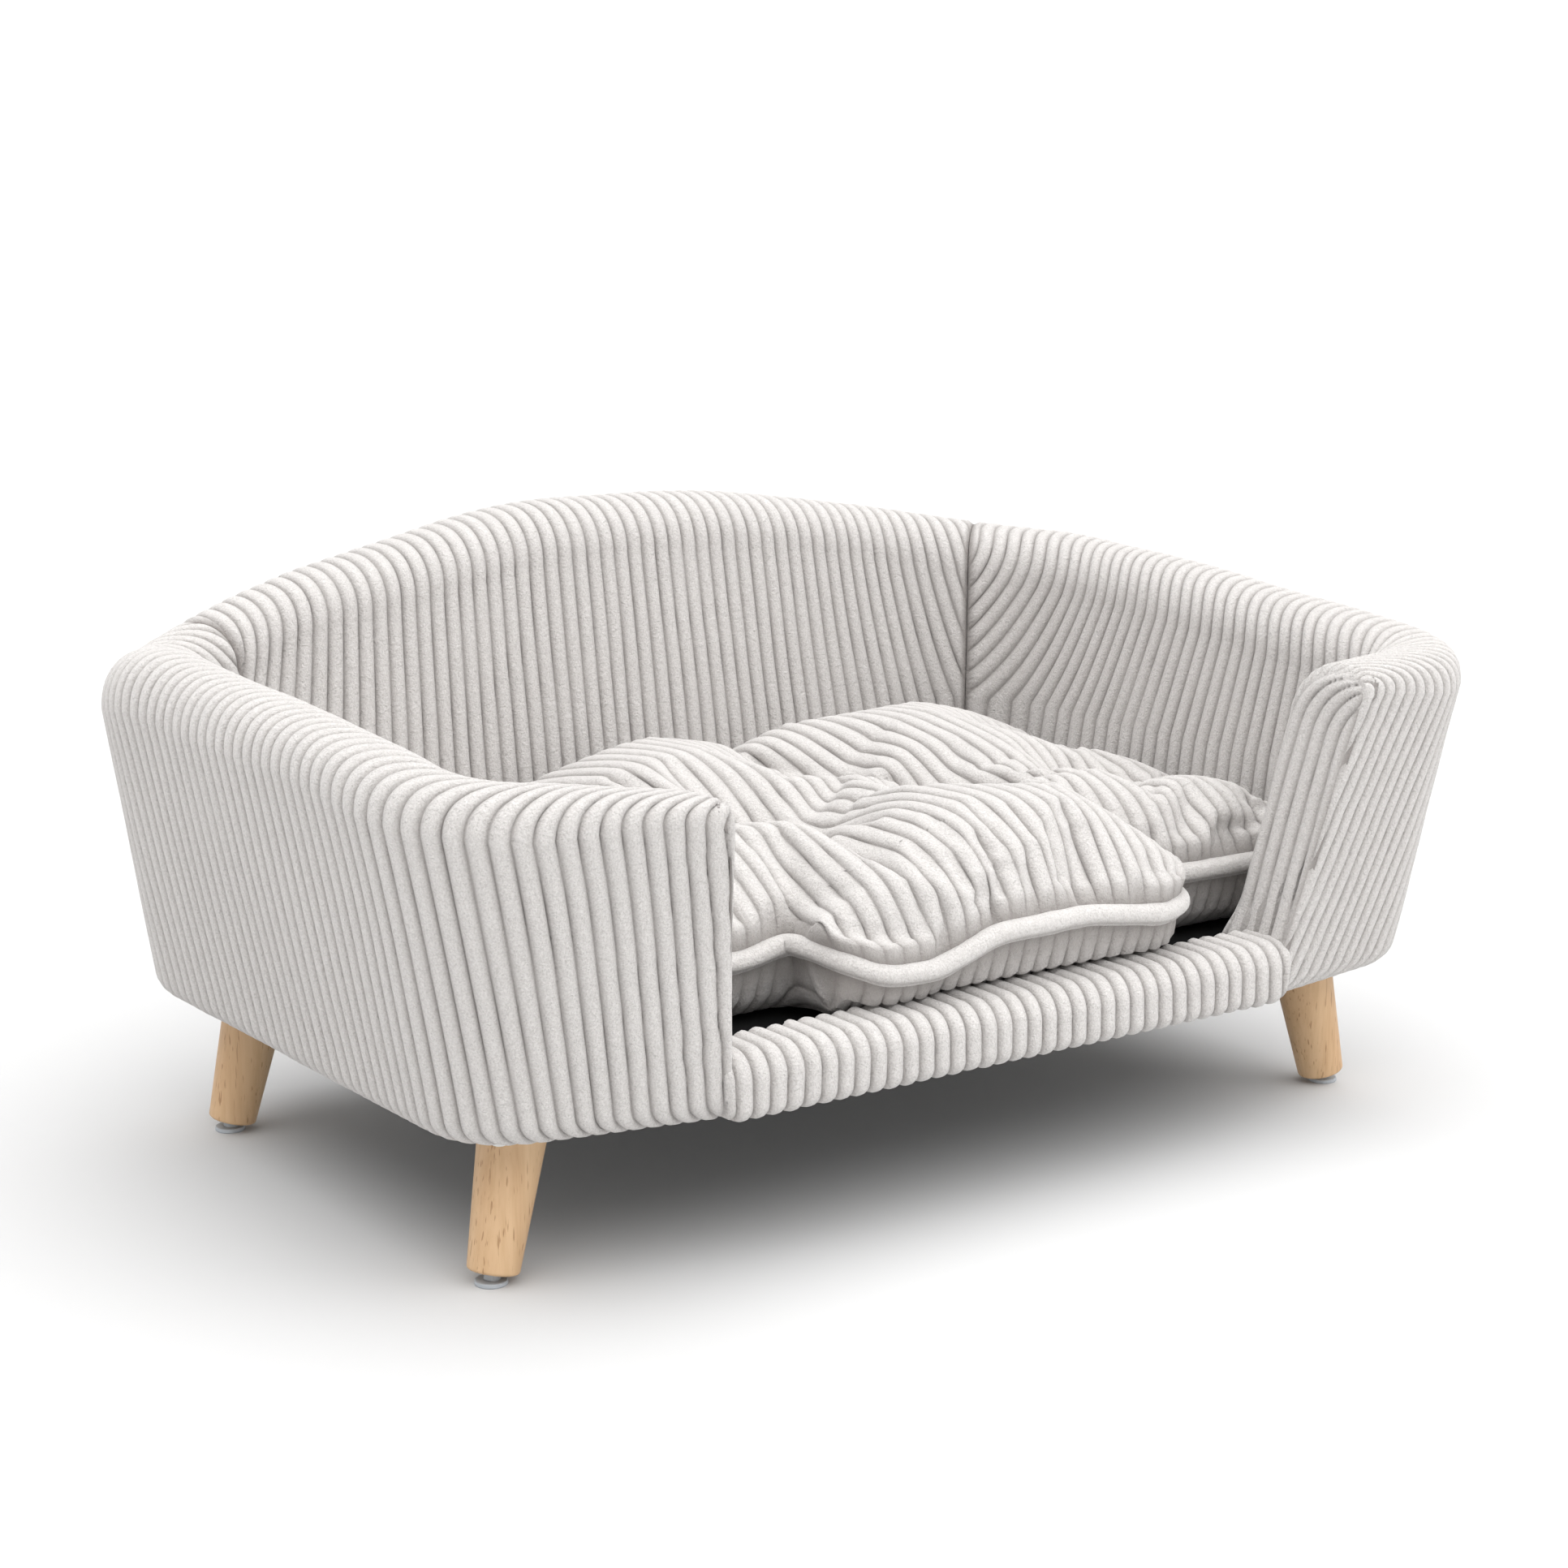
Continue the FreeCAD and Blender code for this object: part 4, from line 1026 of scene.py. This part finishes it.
def panel_patch(points, distance, rows, columns, fine, out, seed, ribbed=True):
    """Ribbed surface over a block of the cloth grid."""
    (row0, row1), (col0, col1) = rows, columns
    ribs = (COLUMNS - 1) // 2
    if ribbed:
        across = [2.0 * (rib + step) for rib in range(ribs) for step in RIB_STEPS]
        across = np.array(across + [COLUMNS - 1.0])
    else:
        across = np.arange(0.0, COLUMNS, 2.0)
    across = across[(across >= col0 - TINY) & (across <= col1 + TINY)]
    along = np.linspace(0.0, row1 - row0, int((row1 - row0) * fine) + 1)
    block = points[row0:row1 + 1, col0:col1 + 1]
    grid = resample(resample(block, along, 0), across - col0, 1)
    gaps = resample(resample(distance[row0:row1 + 1, col0:col1 + 1], along, 0), across - col0, 1)
    down, right = np.gradient(grid, axis=(0, 1))
    normal = out * unit(np.cross(right, down))
    if not ribbed:
        # the filling keeps inside the fabric, and back from the seam
        inward = unit(np.array([0.0, FRONT + 0.5 * (MAIN_FRONT + MAIN_REAR), SEAM_Z]) - grid)
        grid = grid - normal * FILLING_UNDER * smooth(gaps / 0.012)[..., None]
        grid = grid + inward * FILLING_BACK * (1.0 - smooth(gaps / 0.020))[..., None]
        return grid, gaps * 0.0
    v, u = np.meshgrid(along * CELL, across * CELL, indexing="ij")
    height = rib_profile(u + 0.0005 * wobble(u * 16.0, v * 16.0, seed))
    tuck = smooth(gaps / 0.008)
    plump = 1.0 + 0.10 * wobble(u * 40.0, v * 25.0, seed + 1.0)
    lift = (0.0012 - RIB_DEEP * (1.0 - height)) * plump * tuck - 0.0012 * (1.0 - tuck)
    # height * tuck is the pile mask: painted shade in the grooves and toward the seam
    return grid + normal * lift[..., None], height * tuck


def panel_patches(points, distance, fine, out, seed, ribbed=True):
    """A whole T-shaped panel: the main body and its tongue."""
    blocks = (((TONGUE_ROWS, ROWS - 1), (0, COLUMNS - 1)), ((0, TONGUE_ROWS), (LEFT, RIGHT)))
    return [panel_patch(points, distance, *block, fine, out, seed, ribbed) for block in blocks]


def weld_panels(name, patches, material):
    """Patches of points and pile heights as one object."""
    bm = bmesh.new()
    # the pile layer masks the corduroy's painted shade in the grooves and at the seams
    layer = bm.verts.layers.float.new("pile")
    for grid, pile in patches:
        rows, cols = grid.shape[:2]
        verts = []
        for point, value in zip(grid.reshape(-1, 3), pile.ravel()):
            vert = bm.verts.new(point)
            vert[layer] = float(value)
            verts.append(vert)
        for r in range(rows - 1):
            for c in range(cols - 1):
                k = r * cols + c
                bm.faces.new((verts[k], verts[k + 1], verts[k + cols + 1], verts[k + cols]))
    bmesh.ops.remove_doubles(bm, verts=bm.verts, dist=0.0005)
    bmesh.ops.recalc_face_normals(bm, faces=bm.faces)
    mesh = bpy.data.meshes.new(name)
    bm.to_mesh(mesh)
    bm.free()
    mesh.shade_smooth()
    mesh.materials.append(material)
    return add_object(name, mesh)


def tube(name, path, radius, around, material, closed, up, shape=None, seed=0.0):
    """A round cord along a path; shape turns an angle into a radius factor."""
    ahead = np.gradient(path, axis=0)
    if closed:
        ahead = np.roll(path, -1, axis=0) - np.roll(path, 1, axis=0)
    ahead = unit(ahead)
    side = unit(np.cross(ahead, up))
    top = np.cross(side, ahead)
    angles = np.linspace(0.0, 2.0 * math.pi, around, endpoint=False)
    factor = np.ones(around) if shape is None else shape(angles)
    run, turn = np.meshgrid(np.arange(len(path)) * 0.2, angles, indexing="ij")
    size = radius * factor * (1.0 + 0.06 * wobble(run, np.cos(turn) * 0.8, seed))
    across = np.cos(turn)[..., None] * side[:, None] + np.sin(turn)[..., None] * top[:, None]
    grid = path[:, None] + size[..., None] * across
    # painted shade: the cord's pile mask drops in the piping's stitched groove, so the corduroy is
    # painted darker there
    pile = np.clip(np.repeat(factor[None], len(path), axis=0) * 2.4 - 1.4, 0.0, 1.0)
    ends = ((0, int(closed)), (0, 1))
    grid = np.pad(grid, (*ends, (0, 0)), "wrap").swapaxes(0, 1)
    pile = np.pad(pile, ends, "wrap").T
    keep = np.ones((pile.shape[0] - 1, pile.shape[1] - 1), bool)
    return finish_mesh(grid_object(name, grid, pile, keep), material)


def even_loop(points, spacing):
    """A closed path with even steps and its kinks smoothed out."""
    closed = np.concatenate([points, points[:1]])
    run = arc_length(closed)
    places = np.linspace(0.0, run[-1], int(run[-1] / spacing), endpoint=False)
    path = sample(places, run, closed)
    for _ in range(5):
        path = 0.25 * np.roll(path, 1, axis=0) + 0.5 * path + 0.25 * np.roll(path, -1, axis=0)
    return path


def piping_shape(angles):
    """Round piping with the stitched groove low on its outer side."""
    groove = np.exp(-((np.angle(np.exp(1j * (angles + 0.85)))) / 0.20) ** 2)
    return 1.0 - 0.24 * groove


def build_cushion():
    plan, exists, seam = cushion_plan()
    top, bottom, places = cushion_start(plan, exists, seam)
    top, bottom = inflate(top, bottom, exists, seam, places)
    top, bottom = keep_clear(top), keep_clear(bottom)
    distance = seam_distance(plan, seam)
    made = []
    patches = []
    for node, points, fine, out, seed in (("cushion_top", top, 2.0, 1.0, 51.0),
                                          ("cushion_bottom", bottom, 1.5, -1.0, 61.0)):
        panel = panel_patches(points, distance, fine, out, seed)
        made.append((weld_panels(node + "_fabric", panel, CORDUROY), node, "corduroy"))
        patches += panel_patches(points, distance, 0.5, out, 0.0, False)
    filling = weld_panels("cushion_filling_fibre", patches, FOAM)
    made.append((filling, "cushion_filling", "padding"))
    loop = even_loop(np.array([top[place] for place in seam_loop()]), 0.0032)
    cord = tube("cushion_piping_cord", loop, PIPING, 20, CORDUROY, True, UP, piping_shape, 71.0)
    made.append((cord, "cushion_piping", "corduroy"))
    made.append((tie_threads(top, bottom, places), "tuft_ties", "thread"))
    for obj, node, slot in made:
        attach(obj, "cushion")
        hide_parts(node)


def tie_threads(top, bottom, places):
    """The tufting threads, bottom dimple to top dimple."""
    pieces = []
    margin = np.array([0.0, 0.0, 0.0008])
    for number, place in enumerate(places):
        path = np.linspace(bottom[place] + margin, top[place] - margin, 12)
        path[:, 0] += 0.0006 * np.sin(np.linspace(0.0, 9.0, 12))
        thread = MATERIALS["thread"]
        pieces.append(tube("tie", path, TIE, 8, thread, False, REARWARD, None, 80.0 + number))
    with bpy.context.temp_override(active_object=pieces[0], selected_editable_objects=pieces):
        bpy.ops.object.join()
    pieces[0].name = "tuft_ties_thread"
    return pieces[0]


# ---- stage and camera
PAPER = 0.62  # the floor's grey
SKY = 0.62  # brightness overhead
HORIZON = 1.5  # and in a band round the horizon
SUN = 3.9


def build_stage():
    """A pale floor under an even studio sky."""
    mesh = bpy.data.meshes.new("floor")
    size = 12.0
    corners = [(-size, -size, 0.0), (size, -size, 0.0), (size, size, 0.0), (-size, size, 0.0)]
    mesh.from_pydata(corners, [], [(0, 1, 2, 3)])
    obj = add_object("floor", mesh)
    material, _, shader = new_material("floor_paper")
    set_inputs(shader, {"Base Color": (PAPER, PAPER, PAPER, 1.0)})
    set_inputs(shader, {"Roughness": 0.9, "Specular IOR Level": 0.1})
    obj.data.materials.append(material)
    world = bpy.data.worlds.new("studio")
    bpy.context.scene.world = world
    world.use_nodes = True
    tree = world.node_tree
    coords = add_node(tree, "TexCoord")
    split = add_node(tree, "SeparateXYZ")
    tree.links.new(coords.outputs["Generated"], split.inputs["Vector"])
    height = add_node(tree, "Math", operation="ABSOLUTE")
    tree.links.new(split.outputs["Z"], height.inputs[0])
    glow = ramp(tree, height.outputs[0], [(0.10, (HORIZON,) * 3), (0.22, (SKY,) * 3)])
    tree.links.new(glow, tree.nodes["Background"].inputs["Color"])
    set_inputs(tree.nodes["Background"], {"Strength": 1.0})
    bpy.context.scene.view_settings.view_transform = "Standard"


def build_lights():
    """A wide soft light from above and a weak one from the front right."""
    sun = bpy.data.lights.new("overhead", "SUN")
    sun.energy = SUN
    sun.angle = math.radians(100.0)
    obj = add_object("overhead", sun)
    obj.rotation_euler = (math.radians(9.0), math.radians(3.0), 0.0)
    panel = bpy.data.lights.new("front", "AREA")
    panel.size = 1.2
    panel.energy = 4.0
    obj = add_object("front", panel)
    obj.location = (1.6, -1.9, 1.1)
    aim = Vector((0.0, 0.0, 0.2)) - obj.location
    obj.rotation_euler = aim.to_track_quat("-Z", "Y").to_euler()


def build_camera():
    """A long lens at low height, round to the front left."""
    azimuth = math.radians(35.49)
    elevation = math.radians(12.01)
    target = Vector((-0.0264, FRONT + 0.1989, 0.2135))
    distance = 1.8487
    level = math.cos(elevation)
    back = Vector((-math.sin(azimuth) * level, -math.cos(azimuth) * level, math.sin(elevation)))
    right = Vector((math.cos(azimuth), -math.sin(azimuth), 0.0))
    up = back.cross(right)
    data = bpy.data.cameras.new("camera")
    data.lens = 70.8
    data.sensor_width = 36.0
    camera = add_object("camera", data)
    turn = Matrix((right, up, back)).transposed().to_4x4()
    camera.matrix_world = Matrix.Translation(target + back * distance) @ turn
    bpy.context.scene.camera = camera


dress_cad_nodes()
build_covers()
build_rail()
build_cushion()
build_stage()
build_lights()
build_camera()
